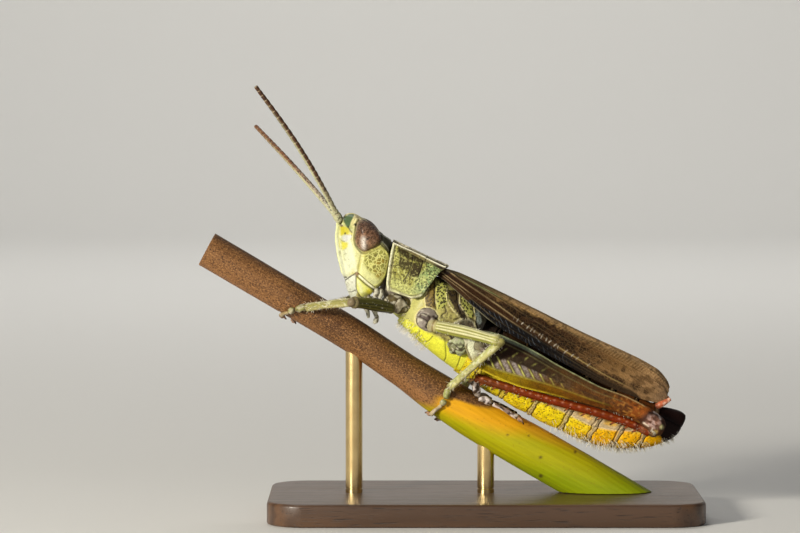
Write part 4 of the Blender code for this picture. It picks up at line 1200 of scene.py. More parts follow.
eyes = []
for side in (-1, 1):
    down = np.linspace(0.02, math.pi - 0.02, 110)[:, None]
    turn = turns(150)[None, :]
    wide = np.sin(down) * eye_radius(turn)
    ball = grid(wide * np.cos(turn), side * EYE["thick"] * np.cos(down), wide * np.sin(turn))
    oval = ball + np.array(EYE["centre"]) * (1, side, 1)
    x, z = oval[..., 0], oval[..., 2]
    cloud, small = grain(oval, 0.3, 31), grain(oval, 0.11, 32)
    edge = eye_reach(x, z)
    # painted highlight: a pale streak low on each eye
    painted_highlight = stroke([(-3.8, -0.5), (-3.72, -0.66), (-3.62, -0.8)], x, z, 0.115)
    paint = painted(
        (0.29, 0.135, 0.062),
        (ramp(z - 0.6 * (x + 3.7) + (cloud - 0.5) * 0.5, -0.4, 0.1) * 0.85, (0.06, 0.028, 0.018)),
        (ramp(small, 0.55, 0.8) * 0.45, (0.4, 0.24, 0.15)),
        (ramp(-z + 0.5 * (x + 3.7), 0.35, 0.75) * 0.6, (0.46, 0.25, 0.12)),
        (painted_highlight * 0.95, (1.0, 0.92, 0.82)),
        (ramp(edge, 0.8, 0.97) * ramp(-(x + 3.7) - 0.5 * (z + 0.38), 0.0, 0.35) * 0.75, (0.46, 0.36, 0.22)),
        (ramp(edge, 0.86, 0.98) * ramp((x + 3.7) - 0.3 * (z + 0.38), 0.0, 0.3) * 0.7, (0.1, 0.045, 0.02)),
        (bell(np.hypot(x + 3.65, z + 0.37), 0.06, 4) * 0.95, (0.01, 0.005, 0.004)),
    )
    eyes.append(patch(oval, paint, marks=np.stack([1 - painted_highlight * 0.75] * 3, -1)))
piece("compound_eyes", eyes, facets("compound_eye"), "eye", "eye_left", "eye_right")

# Feelers. Each has two stout base joints and twenty-three short horny rings, brown with a pale skin
# between them and greyish cream towards the head; on the side that faces down and forward the joints
# and the base are painted lighter, as if lit from there.
ROOTS = {-1: (-4.98, -0.22, -0.35), 1: (-4.98, 0.22, -0.35)}
TIPS = {-1: (-10.66, -1.5, 2.98), 1: (-10.05, 4.2, 1.36)}
BOWS = {-1: (0.09, 0.0, 0.15), 1: (0.04, -0.2, 0.06)}


def copies(
    name, spots, aims, sizes, paints, shape, finish, slot, *nodes, vary=0.0, spin=0.0, seed=1, tilted=True,
    rooted=None,
):
    """Geometry Nodes set the shape at each spot, its own +Z along the aim, made one plain mesh.

    rooted gives each spot's place on the unwrapped skin, kept as a UV map of the copies.
    """
    tree = bpy.data.node_groups.new("copies_on_spots", "GeometryNodeTree")
    for label, kind in (
        ("Geometry", "NodeSocketGeometry"), ("Shape", "NodeSocketObject"),
        ("Size variation", "NodeSocketFloat"), ("Spin", "NodeSocketFloat"), ("Seed", "NodeSocketInt"),
        ("Material", "NodeSocketMaterial"),
    ):
        tree.interface.new_socket(label, in_out="INPUT", socket_type=kind)
    tree.interface.new_socket("Geometry", in_out="OUTPUT", socket_type="NodeSocketGeometry")

    def node(kind, settings=None, links=None):
        made = tree.nodes.new(kind)
        for key, value in (settings or {}).items():
            setattr(made, key, value)
        for key, value in (links or {}).items():
            if isinstance(value, bpy.types.NodeSocket):
                tree.links.new(value, made.inputs[key])
            else:
                made.inputs[key].default_value = value
        return made

    given = node("NodeGroupInput").outputs
    aim = node("GeometryNodeInputNamedAttribute", {"data_type": "FLOAT_VECTOR"}, {"Name": "aim"}).outputs[0]
    size = node("GeometryNodeInputNamedAttribute", {"data_type": "FLOAT_VECTOR"}, {"Name": "size"}).outputs[0]
    point = node("FunctionNodeAlignRotationToVector", {"axis": "Z"}, {"Vector": aim}).outputs[0]
    chance = node(
        "FunctionNodeRandomValue", {"data_type": "FLOAT"}, {2: -1.0, 3: 1.0, "Seed": given["Seed"]}
    ).outputs[1]
    turned = node("ShaderNodeMath", {"operation": "MULTIPLY"}, {0: chance, 1: given["Spin"]}).outputs[0]
    twist = node(
        "FunctionNodeEulerToRotation", {}, {0: node("ShaderNodeCombineXYZ", {}, {"Z": turned}).outputs[0]}
    ).outputs[0]
    point = node("FunctionNodeRotateRotation", {"rotation_space": "LOCAL"}, {0: point, 1: twist}).outputs[0]
    other = node(
        "ShaderNodeMath", {"operation": "FRACT"},
        {0: node("ShaderNodeMath", {"operation": "MULTIPLY"}, {0: chance, 1: 7.13}).outputs[0]},
    ).outputs[0]
    share = node(
        "ShaderNodeMath", {"operation": "MULTIPLY_ADD"}, {0: other, 1: given["Size variation"], 2: 1.0}
    ).outputs[0]
    grown = node("ShaderNodeVectorMath", {"operation": "SCALE"}, {0: size, "Scale": share}).outputs[0]
    shape_in = node("GeometryNodeObjectInfo", {}, {"Object": given["Shape"]}).outputs["Geometry"]
    set_out = node(
        "GeometryNodeInstanceOnPoints", {},
        {"Points": given["Geometry"], "Instance": shape_in, "Rotation": point, "Scale": grown},
    ).outputs[0]
    whole = node("GeometryNodeRealizeInstances", {}, {"Geometry": set_out}).outputs[0]
    dressed = node(
        "GeometryNodeSetMaterial", {}, {"Geometry": whole, "Material": given["Material"]}
    ).outputs[0]
    node("NodeGroupOutput", {}, {0: dressed})

    mesh = bpy.data.meshes.new(name + "_spots")
    spots = place(spots) if tilted else np.asarray(spots, float)
    mesh.from_pydata((spots * MM).tolist(), [], [])
    aims = place(aims) - place((0, 0, 0)) if tilted else np.asarray(aims, float)
    for label, values in (("aim", aims), ("size", np.asarray(sizes, float) * MM)):
        keep(mesh, label, np.broadcast_to(values, spots.shape), "FLOAT_VECTOR", "vector")
    keep(mesh, "paint", np.broadcast_to(paints, spots.shape))
    holder = in_scene(name + "_spots", mesh)
    modifier = holder.modifiers.new("copies", "NODES")
    modifier.node_group = tree
    values = {"Shape": shape, "Size variation": vary, "Spin": spin, "Seed": seed, "Material": finish.material}
    for socket in tree.interface.items_tree:
        if socket.in_out == "INPUT" and socket.name in values:
            modifier[socket.identifier] = values[socket.name]
    result = bpy.data.meshes.new_from_object(holder.evaluated_get(bpy.context.evaluated_depsgraph_get()))
    result.name = name
    result.materials.clear()
    result.materials.append(finish.material)
    result.polygons.foreach_set("material_index", [0] * len(result.polygons))
    if rooted is not None:
        local = np.array([v.co for v in shape.data.vertices])
        dab = 0.003 * np.stack(
            [np.arctan2(local[:, 1], local[:, 0]) / math.tau % 1, np.clip(local[:, 2], 0, 1)], -1
        )
        places = np.repeat(rooted, len(local), 0) + np.tile(dab, (len(rooted), 1))
        corners = np.empty(len(result.loops), np.int32)
        result.loops.foreach_get("vertex_index", corners)
        result.uv_layers.new(name="OFBake").data.foreach_set("uv", places[corners].astype(np.float32).ravel())
    for unused in (holder, shape):
        bpy.data.objects.remove(unused)
    fitted(name, result, nodes)


def turned_shape(profile, sides=16):
    """A small closed solid of revolution about +Z from pairs of height and radius, in units of 1."""
    turn = turns(sides)
    rings = np.array([[(r * math.cos(t), r * math.sin(t), h) for t in turn] for h, r in profile])
    spots, faces, _, _ = patch(rings, (0, 0, 0), tilted=False)
    mesh = bpy.data.meshes.new("turned")
    mesh.from_pydata(spots.tolist(), [], faces)
    mesh.shade_smooth()
    keep(mesh, "along", np.clip(spots[:, 2], 0, 1), "FLOAT", "value")
    return in_scene("turned", mesh)


horn = Finish("feeler_rings", 0.46, coat_weight=0.08, coat_roughness=0.3, specular_ior_level=0.25)
spot = horn.spot()
along = horn.kept("along", 2)
cloud = horn.noise(0.07, spot, 3.0, 0.6)
toned = horn.tone(horn.kept("paint"), 0.66 + cloud * 0.7)
toned = horn.mix(horn.noise(0.075, spot, 2.0).between(0.5, 0.56) * 0.85, toned, (0.03, 0.016, 0.01))
# painted light: joints and base laid paler on the faces turned down and forward
facing = horn.node("NewGeometry", outlet=1)
below = horn.node("VectorMath", {"operation": "DOT_PRODUCT"}, {0: facing, 1: (-0.8, -0.15, -0.58)}, outlet=1)
reach = horn.node("SeparateXYZ", {}, {0: spot})
toned = horn.mix(along.between(0.8, 0.92) * (0.3 + 0.45 * below.between(-0.4, 0.6)), toned, (0.42, 0.33, 0.2))
toned = horn.mix(
    below.between(0.3, 0.72) * reach.between(-10.2, -7.2) * (0.35 + 0.65 * cloud.between(0.3, 0.5)), toned,
    (0.48, 0.47, 0.28),
)
horn.wear(toned, 0.4 + cloud * 0.15, cloud, depth=0.006)
spots, aims, sizes, paints = [], [], [], []
for side in (-1, 1):
    root, tip, bow = (np.array(table[side], float) for table in (ROOTS, TIPS, BOWS))
    count = 25
    steps = np.cumsum(np.r_[0.0, 1.2, 0.7, np.linspace(0.72, 1.18, count - 8), np.linspace(1.1, 0.75, 6)])
    t = (steps / steps[-1])[:, None]
    line = root + (tip - root) * t + bow * np.sin(math.pi * t)
    for k in range(len(line) - 1):
        step = line[k + 1] - line[k]
        long, far = np.linalg.norm(step), k / (len(line) - 2)
        thick = 0.175 if k == 0 else 0.135 if k == 1 else 0.115 + 0.018 * math.sin(math.pi * far) - 0.03 * far
        spots.append(line[k])
        aims.append(step)
        sizes.append((thick, thick, long * 1.12))
        pale = max(0.0, 1 - k / (8.5 if side < 0 else 15.0))
        brown = np.array((0.098, 0.04, 0.017)) * (1.15 - 0.35 * far) * (1.0 if side < 0 else 2.1)
        paints.append(over(brown, pale, (0.42, 0.41, 0.24) if side < 0 else (0.54, 0.54, 0.42)))
segment = turned_shape([
    (-0.02, 0.55), (0.0, 0.78), (0.1, 0.9), (0.35, 1.0), (0.7, 1.0), (0.86, 0.95), (0.94, 0.88), (0.99, 0.8),
    (1.0, 0.5),
], 20)
copies(
    "feelers", spots, aims, sizes, paints, segment, horn, "antenna", "antenna_left", "antenna_right", seed=3
)

# Palps. The jointed feelers of the mouth, white and a little swollen at the end; two pairs hang
# below the jaws, thin-skinned and glossy.
milk = cuticle("palp_skin", 0.1, ink=(0.2, 0.16, 0.1), rough=0.36, coat=0.25, mottle=0.35)
palps = []
for side in (-1, 1):
    for path, radii in (
        ([(-2.5, 0.6, -2.46), (-2.4, 0.68, -2.78), (-2.18, 0.74, -2.9)], (0.06, 0.075, 0.07)),
        ([(-2.2, 0.74, -2.88), (-1.98, 0.76, -2.98), (-1.8, 0.74, -3.14)], (0.065, 0.078, 0.065)),
        ([(-1.82, 0.74, -3.12), (-1.72, 0.72, -3.26), (-1.8, 0.68, -3.42)], (0.07, 0.085, 0.06)),
        ([(-2.86, 0.34, -2.7), (-2.66, 0.46, -2.98), (-2.44, 0.5, -3.04)], (0.055, 0.07, 0.065)),
        ([(-2.46, 0.5, -3.02), (-2.24, 0.5, -3.12), (-2.06, 0.46, -3.34)], (0.06, 0.075, 0.06)),
        ([(-2.42, 0.7, -2.06), (-2.28, 0.76, -2.22), (-2.24, 0.72, -2.46)], (0.09, 0.12, 0.09)),
        ([(-2.2, 0.66, -2.0), (-2.08, 0.72, -2.16), (-2.06, 0.7, -2.4)], (0.08, 0.1, 0.08)),
    ):
        stalk, _, share = limb([(a, side * b, c) for a, b, c in path], radii, 34, 24)
        tone = painted(
            (0.52, 0.5, 0.38),
            (fall(share, 0.08, 0.28) * 0.9, (0.085, 0.065, 0.04)),
            (ramp(grain(stalk, 0.13, 81), 0.55, 0.68) * 0.8, (0.1, 0.075, 0.045)),
        )
        palps.append(
            patch(stalk, over(tone, ramp(share, 0.75, 1.0) * 0.5, (0.72, 0.71, 0.64)), marks=(0.3, 0, 0))
        )
piece("palps_pair", palps, milk, "palp", "palp_left", "palp_right")

# Forewings. A pair of long leathery covers folded as a roof over the back, each a thin sheet braced
# by raised veins and a fine net; brown and black on the flank, tan above, a green edge at the base.
TEGMEN = (
    (-0.62, -0.16, -0.42, 0.8), (-0.12, 0.0, -0.44, 0.95), (0.5, 0.12, -0.58, 1.12), (1.5, 0.17, -0.84, 1.26),
    (3.0, 0.22, -1.1, 1.26), (5.0, 0.28, -1.16, 1.16), (7.0, 0.37, -1.18, 1.02), (8.5, 0.46, -1.12, 0.86),
    (9.5, 0.42, -0.98, 0.72), (10.1, 0.22, -0.84, 0.58), (10.4, -0.04, -0.7, 0.47),
    (10.5, -0.26, -0.58, 0.42),
)
ROOF = (
    (0.0, 1.0), (0.22, 0.99), (0.44, 0.94), (0.6, 0.83), (0.74, 0.66), (0.88, 0.42), (0.97, 0.18), (1.0, 0.0)
)
LONG_VEINS = (
    (
        [
            (-0.4, -0.02), (0.2, -0.07), (1.0, -0.15), (2.0, -0.25), (3.0, -0.38), (4.0, -0.52), (5.2, -0.64),
            (6.4, -0.72), (8.1, -0.79), (9.6, -0.72),
        ],
        0.026,
        1.0,
    ),
    (
        [
            (-0.3, -0.2), (0.8, -0.35), (2.0, -0.5), (3.0, -0.62), (4.2, -0.74), (5.6, -0.86), (7.5, -0.96),
            (9.2, -0.88),
        ],
        0.022,
        0.8,
    ),
    (
        [(-0.2, -0.3), (0.8, -0.46), (1.7, -0.68), (2.6, -0.84), (4.0, -0.96), (6.0, -1.04), (8.0, -1.06)],
        0.02,
        0.45,
    ),
    ([(0.4, 0.0), (2.0, -0.04), (4.0, -0.16), (6.0, -0.26), (8.0, -0.34), (10.0, -0.36)], 0.02, 0.55),
    ([(0.6, 0.06), (3.0, 0.1), (5.0, 0.06), (7.0, 0.02), (9.0, -0.02), (10.2, -0.14)], 0.018, 0.45),
    ([(4.0, -0.3), (6.0, -0.46), (8.0, -0.56), (9.9, -0.54)], 0.018, 0.5),
    ([(1.5, 0.12), (4.0, 0.2), (6.5, 0.26), (8.6, 0.3), (9.8, 0.18)], 0.018, 0.4),
)
# Places along the wing of painted glints: short pale strokes across the raised cross-veins.
GLINT_PLACES = (2.75, 3.25, 3.42, 3.66, 3.93, 4.12, 4.25, 4.5, 4.62, 4.85, 5.02, 5.28, 5.42, 5.8, 6.12, 6.35, 6.9)


def wing_grid(side, inset):
    rows, columns = 430, 96
    roof = curved(ROOF, 16)
    share = np.linspace(0, 1, columns)
    where = np.linspace(0, 1, len(roof))
    across, rise = np.interp(share, where, roof[:, 0])[None, :], np.interp(share, where, roof[:, 1])[None, :]
    x = np.linspace(TEGMEN[0][0], TEGMEN[-1][0], rows)[:, None]
    x = x - 0.1 * np.clip((x - 9.9) / 0.6, 0, 1) ** 2 * (np.abs(rise - 0.45) * 2) ** 2
    ridge, edge, width = (smooth(TEGMEN, x, column) for column in (1, 2, 3))
    lap = 0.05 if side < 0 else -0.01
    y = (width - inset + lap) * across - lap
    z = edge + rise * (np.maximum(ridge - inset, edge + 0.02) - edge) + (0.0 if side < 0 else -0.02)
    return grid(x, side * y, z), np.broadcast_to(share, (rows, columns))


membrane = Finish("wing_cover", 0.6, specular_ior_level=0.05)
spot = membrane.spot()
netted, blotched = membrane.mark(0), membrane.mark(1)
net = membrane.seams(7.2, membrane.spot((0.8, 0.8, 1.05)), 0.85).between(0.1, 0.03)
fine_net = membrane.seams(15.0, membrane.spot((1.0, 0.8, 0.75)), 0.9).between(0.1, 0.02)
cloud = membrane.noise(0.42, membrane.spot((0.7, 1, 1.2)), 4.0, 0.6)
small = membrane.noise(0.1, spot, 3.0, 0.65)
toned = membrane.tone(membrane.kept("paint"), 0.5 + cloud * 0.6 + small * 0.42)
toned = membrane.mix((1 - small).between(0.5, 0.62) * blotched * 0.8, toned, (0.02, 0.012, 0.008))
toned = membrane.mix(net * netted * 0.5, toned, (0.3, 0.165, 0.065))
toned = membrane.mix(fine_net * netted * 0.2, toned, (0.34, 0.2, 0.09))
membrane.wear(toned, 0.38 + small * 0.2, net * 0.6 + fine_net * 0.3 + small * 0.3, depth=0.016)

for label, side in (("left", -1), ("right", 1)):
    cover, share = wing_grid(side, 0.0)
    x, z = cover[..., 0], cover[..., 2]
    flat = fall(share, 0.3, 0.42)
    veins, pale_veins = 0 * x, 0 * x
    for path, wide, bright in LONG_VEINS:
        line = stroke(path, x, z, wide, 8) * (1 - flat)
        veins, pale_veins = most(veins, line), most(pale_veins, line * bright)
    for where in (0.12, 0.24, 0.36):
        line = bell(share - where - 0.004 * x, 0.006) * ramp(share, 0.02, 0.05) * flat
        veins, pale_veins = most(veins, line), most(pale_veins, line * 0.5)
    # painted glints: short pale strokes on raised cross-veins, as light catches them
    glint_strokes = 0 * x
    for at in GLINT_PLACES:
        level = float(np.interp(at, [2.5, 3.25, 4.25, 5.3, 7.4], [-0.35, -0.45, -0.56, -0.66, -0.76]))
        long, tilt = 0.045 + 0.04 * math.sin(at * 37) ** 2, 0.012 + 0.02 * math.sin(at * 23)
        glint = stroke(
            [(at - tilt, level - long), (at - 0.01, level), (at + tilt, level + long)], x, z, 0.017, 2
        )
        glint_strokes = most(glint_strokes, glint * (0.45 + 0.55 * math.sin(at * 51) ** 2))
    glint_strokes = glint_strokes * ramp(x, 3.0, 3.8)
    ladder = (
        bell(np.mod(x - 0.55 * z, 0.135) - 0.0675, 0.02) * ramp(z, -0.02, 0.1) * ramp(x, 2.2, 3.0)
        * ramp(share, 0.22, 0.32)
    )
    top_edge = bell(share - 0.395, 0.018)
    lower_edge = bell(share - 1.0, 0.025)
    cloud, blot, small = (
        grain(cover * (0.55, 1, 1), 0.34, 41), grain(cover * (0.8, 1, 1), 0.17, 42), grain(cover, 0.1, 43)
    )
    tan = painted(
        (0.47, 0.275, 0.095),
        (ramp(x, 5.5, 7.5) * 0.8, (0.33, 0.185, 0.068)),
        (ramp(x, 7.8, 9.8) * 0.8, (0.4, 0.235, 0.115)),
        (ramp(blot + 0.3 * cloud, 0.66, 0.84) * ramp(x, 2.8, 3.6) * 0.75, (0.09, 0.045, 0.018)),
    )
    body = over((0.036, 0.017, 0.008), ramp(x, 5.2, 8.2), (0.165, 0.084, 0.028))
    lane = area([
        (-0.4, -0.03), (1.0, -0.17), (3.0, -0.4), (4.4, -0.58), (4.2, -0.72), (3.0, -0.6), (0.8, -0.34),
        (-0.3, -0.18),
    ], x, z, 0.04)
    blots = area([
        (2.4, -0.02), (3.6, 0.0), (5.5, -0.1), (7.2, -0.2), (7.0, -0.62), (5.0, -0.55), (3.4, -0.38),
        (2.5, -0.28),
    ], x, z, 0.12)
    black = area([
        (1.3, -0.6), (2.4, -0.64), (3.6, -0.68), (4.8, -0.73), (6.4, -0.82), (8.2, -0.9), (9.2, -0.86),
        (9.2, -1.3), (2.0, -1.3), (1.2, -0.9),
    ], x, z, 0.06)
    # painted glints: pale blue lines on the cross-veins of the black band
    vein_glints = bell(np.mod(x + 0.9 * z + 0.35 * cloud, 0.22) - 0.11, 0.016) * black * ramp(small, 0.35, 0.65)
    paint = painted(
        body,
        (ramp(z - 0.06 * (x - 3) + 0.35 * (blot - 0.5), -0.16, 0.0) * ramp(x, 1.6, 3.2), tan),
        (ramp(x - 1.2 * z, 7.6, 9.6) * 0.75, tan),
        (fall(x, 1.0, 3.2) * ramp(z, -0.1, 0.02) * 0.85, (0.04, 0.03, 0.012)),
        (lane * 0.85 * fall(x, 2.6, 4.0), (0.046, 0.02, 0.009)),
        (blots * ramp(blot + 0.35 * cloud, 0.52, 0.66) * 0.96, (0.012, 0.006, 0.003)),
        (
            ramp(blot, 0.54, 0.68) * ramp(x, 6.0, 7.0) * fall(x, 8.2, 9.6) * fall(z, -0.25, 0.05) * 0.75,
            (0.045, 0.022, 0.009),
        ),
        (black * 0.97, (0.006, 0.006, 0.007)),
        # painted glints on the black band's cross-veins
        (vein_glints * fall(x, 5.5, 6.5) * 0.75, (0.105, 0.125, 0.15)),
        (ramp(x, 6.2, 8.6) * fall(z, -0.95, -0.8) * 0.35, (0.085, 0.045, 0.018)),
        (
            area([
                (4.6, -0.6), (6.2, -0.66), (8.0, -0.64), (9.4, -0.52), (9.6, -0.7), (8.2, -0.88),
                (6.4, -0.82), (4.8, -0.74),
            ], x, z, 0.07) * (0.45 + 0.5 * ramp(blot, 0.35, 0.6)),
            (0.04, 0.02, 0.009),
        ),
        (ramp(x, 9.6, 10.4) * 0.5, (0.3, 0.2, 0.12)),
    )
    dorsal = painted(
        (0.4, 0.245, 0.105),
        (fall(x, 1.2, 3.6) * 0.8, (0.075, 0.065, 0.026)),
        (ramp(x, 6.0, 9.0) * 0.6, (0.42, 0.26, 0.13)),
        (ramp(blot, 0.62, 0.78) * 0.6, (0.06, 0.034, 0.015)),
    )
    teeth = (
        ramp(np.mod(x - 0.55 * z, 0.27) / 0.27, 0.55, 0.75) * ramp(z, -0.12, 0.02) * ramp(x, 2.0, 3.0)
        * fall(x, 6.0, 7.5) * (1 - flat)
    )
    paint = painted(
        paint,
        (flat, dorsal),
        (ladder * 0.6, (0.48, 0.31, 0.14)),
        (teeth * ramp(blot, 0.35, 0.55) * 0.75, (0.035, 0.018, 0.008)),
        (
            pale_veins * (0.4 + 0.6 * ramp(cloud, 0.35, 0.65)) * (0.3 + 0.7 * fall(x, 2.5, 4.2))
            * (1 - 0.5 * black),
            (0.4, 0.29, 0.14),
        ),
        (
            stroke(LONG_VEINS[0][0], x, z, 0.02, 8) * ramp(x, 5.2, 5.8) * fall(x, 8.1, 8.9) * 0.75,
            (0.5, 0.36, 0.12),
        ),
        # painted glints on the cross-veins
        (glint_strokes * 0.95, (0.78, 0.7, 0.56)),
        (top_edge * fall(x, 1.6, 2.8) * ramp(x, 0.2, 0.7) * 0.85, (0.42, 0.48, 0.18)),
        (lower_edge * fall(x, 2.0, 3.0) * 0.6, (0.4, 0.36, 0.22)),
    )
    webbed = (
        (1 - 0.85 * black) * ramp(x, 0.0, 1.5) * (1 - 0.55 * lane) * (0.28 + 0.52 * ramp(x, 4.5, 7.5))
        * (1 - glint_strokes)
    )
    notes = grid(webbed, blots * 0.8 + flat * 0.35 + ramp(x, 6.4, 7.2) * 0.25, 0)
    folds = 0.016 * np.sin(share * 26 + 0.4 * x) * ramp(x, 0.5, 2.0)
    height = (
        0.028 * veins + 0.018 * glint_strokes + 0.012 * ladder + 0.02 * lower_edge + folds + 0.02 * (cloud - 0.5)
        - 0.02
    )
    lining, _ = wing_grid(side, 0.09)
    cover = raised(cover, height, around=False)
    piece(
        f"wing_cover_{label}", [sheet(cover, lining, paint, notes, (0.1, 0.06, 0.03))], membrane, "wing",
        f"forewing_{label}",
    )

# Fore and middle legs. Horny tubes: a ridged striped thigh, a slimmer shin with short spines on its
# underside, and a foot of three joints with soft pads, two claws and a lobe between them.


def grip(x, degrees, above, side):
    """Place over the stem's skin, degrees down its flank from the crest."""
    reach, turn = float(smooth(STEM, x, 2)) + above, math.radians(degrees)
    return (x, side * reach * math.sin(turn), float(smooth(STEM, x)) + reach * math.cos(turn))


def knob(centre, radii, toward, paint, rows=26, columns=36, lumps=0.05, seed=5, islands=None):
    """A rounded lump of cuticle, longest along toward; islands are pale plates with black seams."""
    toward = np.asarray(toward, float) / np.linalg.norm(toward)
    side = np.cross(toward, (0, 1, 0.3))
    side /= np.linalg.norm(side)
    other = np.cross(toward, side)
    down = np.linspace(0.05, math.pi - 0.05, rows)[:, None]
    turn = turns(columns)[None, :]
    along, out = np.cos(down) + 0 * turn, np.sin(down)
    spots = (
        along[..., None] * toward * radii[0] + (out * np.cos(turn))[..., None] * side * radii[1]
        + (out * np.sin(turn))[..., None] * other * radii[2]
    )
    spots = np.asarray(centre, float) + spots * (
        1 + lumps * (grain(spots + centre, 0.18, seed)[..., None] - 0.5) * 2
    )
    tone = over(paint, ramp(grain(spots, 0.13, seed + 1), 0.5, 0.8) * 0.45, (0.12, 0.09, 0.04))
    if islands:
        plates, fleck = grain(spots, 0.3, seed + 2), grain(spots, 0.11, seed + 3)
        seam = bell(plates - 0.5, 0.035)
        tone = painted(
            tone,
            (ramp(plates, 0.5, 0.56), islands),
            (ramp(fleck, 0.62, 0.78) * 0.6, (0.6, 0.56, 0.42)),
            (fall(fleck, 0.22, 0.36) * 0.7, (0.07, 0.05, 0.03)),
            (seam * 0.9, (0.035, 0.024, 0.014)),
        )
        spots = raised(spots, 0.035 * ramp(plates, 0.5, 0.6) - 0.035 * seam + 0.02 * fleck)
    return patch(spots, tone, marks=(0.3, 0, 0))


def foot(spots, side, pads, end, hooks, thick=1.0, light_and_shade_flecks=0.25):
    """Foot along ankle, two joints and the end, with claws that reach the hooks."""
    ankle, first, second, last = (np.array(spot, float) for spot in spots)
    parts = []
    for a, b, radii, tone in (
        (ankle, first, (0.115, 0.15, 0.135, 0.11), pads),
        (first * 1.03 - ankle * 0.03, second, (0.1, 0.135, 0.105), pads),
        (second, last, (0.075, 0.07, 0.085, 0.1), end),
    ):
        def lumpy(turn, share):
            return (
                0.14 * np.sin(share * 12.5) * bell(turn - 4.7, 1) * (a is ankle)
                + 0.1 * np.sin(turn * 3 + share * 9)
            )

        middle = (a + b) / 2 + (0, side * 0.02, 0.03)
        part, turn, share = limb([a, middle, b], np.array(radii) * thick, 34, 26, ridges=lumpy)
        tone = painted(
            tone,
            (ramp(share, 0.8, 0.98) * 0.8, (0.17, 0.12, 0.05)),
            (fall(np.sin(turn), -0.9, -0.3) * 0.5, (0.42, 0.36, 0.24)),
            # painted shade in dark flecks and painted highlights in pale flecks, as strong as the last
            # argument
            (fall(grain(part, 0.13, 82), 0.38, 0.5) * light_and_shade_flecks, (0.04, 0.022, 0.014)),
            (ramp(grain(part, 0.1, 81), 0.54, 0.66) * light_and_shade_flecks, (0.66, 0.58, 0.54)),
        )
        parts.append(patch(part, tone, marks=(0.3, 0, 0)))
    aim = np.array(hooks, float) - last
    for spread in (-1, 1):
        out = np.array([0.0, 0.1, 0.0]) * spread
        claw, _, share = limb([
            last, last + aim * 0.45 + out * 1.2 + (0, 0, 0.05), last + aim * 0.85 + out * 1.5,
            last + aim + out * 1.1,
        ], (0.06, 0.05, 0.035, 0.008), 26, 16, up=(0.3, 0.2, 1), cap=0.3)
        parts.append(patch(claw, over((0.34, 0.19, 0.11), ramp(share, 0.45, 0.85), (0.04, 0.018, 0.01))))
    parts.append(knob(last + aim * 0.28, (0.12, 0.08, 0.07), aim, (0.36, 0.24, 0.17), lumps=0.1))
    return parts


def striped(turn, share, hue, dark, pale, knee):
    """Long stripes of a thigh: pale keels with dark grooves between, and a shaded knee."""
    level = np.sin(turn)
    paint = hue
    for at in (0.58, 0.08, -0.42, 0.93):
        paint = over(paint, bell(level - at, 0.13) * 0.85 * ramp(np.cos(turn), -0.3, 0.1), pale)
    for at in (0.33, -0.17, -0.68):
        paint = over(
            paint,
            bell(level - at, 0.06) * 0.85 * ramp(np.cos(turn), -0.3, 0.1) * ramp(share, 0.05, 0.15)
            * fall(share, 0.85, 0.93),
            dark,
        )
    paint = over(paint, bell(share - 0.955, 0.035) * 0.7, knee)
    return over(paint, fall(share, 0.0, 0.1) * 0.5, dark)


def keels(turn, share):
    level = np.sin(turn)
    run = ramp(share, 0.04, 0.18) * fall(share, 0.84, 0.96) * ramp(np.cos(turn), -0.4, 0.1)
    raise_ = sum(bell(level - at, 0.12) for at in (0.58, 0.08, -0.42))
    return 0.07 * raise_ * run - 0.03 * run + 0.08 * bell(share - 0.93, 0.05)


SPOTS = {
    "fore_left": dict(root=(-1.24, -0.74, -2.24), hip=(-1.44, -0.96, -2.5), knee=(-3.02, -2.75, -2.94)),
    "fore_right": dict(root=(-1.24, 0.74, -2.24), hip=(-1.44, 0.96, -2.5), knee=(-3.15, 2.35, -3.3)),
    "middle_left": dict(root=(0.08, -1.2, -2.2), hip=(0.4, -1.42, -2.3), knee=(3.12, -2.85, -1.5)),
    "middle_right": dict(root=(0.08, 1.2, -2.2), hip=(0.4, 1.42, -2.3), knee=(3.02, 2.85, -1.82)),
}
FEET = {
    "fore_left": [
        grip(-4.56, 86, 0.17, -1), grip(-4.92, 108, 0.15, -1), grip(-5.1, 124, 0.15, -1),
        grip(-5.36, 152, 0.2, -1), grip(-5.05, 172, 0.1, -1),
    ],
    "fore_right": [
        grip(-4.06, 86, 0.17, 1), grip(-4.4, 108, 0.15, 1), grip(-4.58, 124, 0.15, 1),
        grip(-4.84, 150, 0.18, 1), grip(-4.6, 172, 0.1, 1),
    ],
    "middle_left": [
        grip(2.24, 62, 0.19, -1), grip(2.3, 88, 0.16, -1), grip(2.3, 104, 0.16, -1), grip(2.1, 146, 0.2, -1),
        grip(1.86, 172, 0.1, -1),
    ],
    "middle_right": [
        grip(2.86, 66, 0.19, 1), grip(2.8, 92, 0.16, 1), grip(2.74, 108, 0.16, 1), grip(2.55, 150, 0.2, 1),
        grip(2.36, 182, 0.12, 1),
    ],
}
leg_shell = cuticle(
    "leg_shell", 0.075, ink=(0.09, 0.06, 0.022), rough=0.42, coat=0.12, mottle=0.3, depth=0.01, reach=0.2
)
spine_spots, hairy_legs = [], []
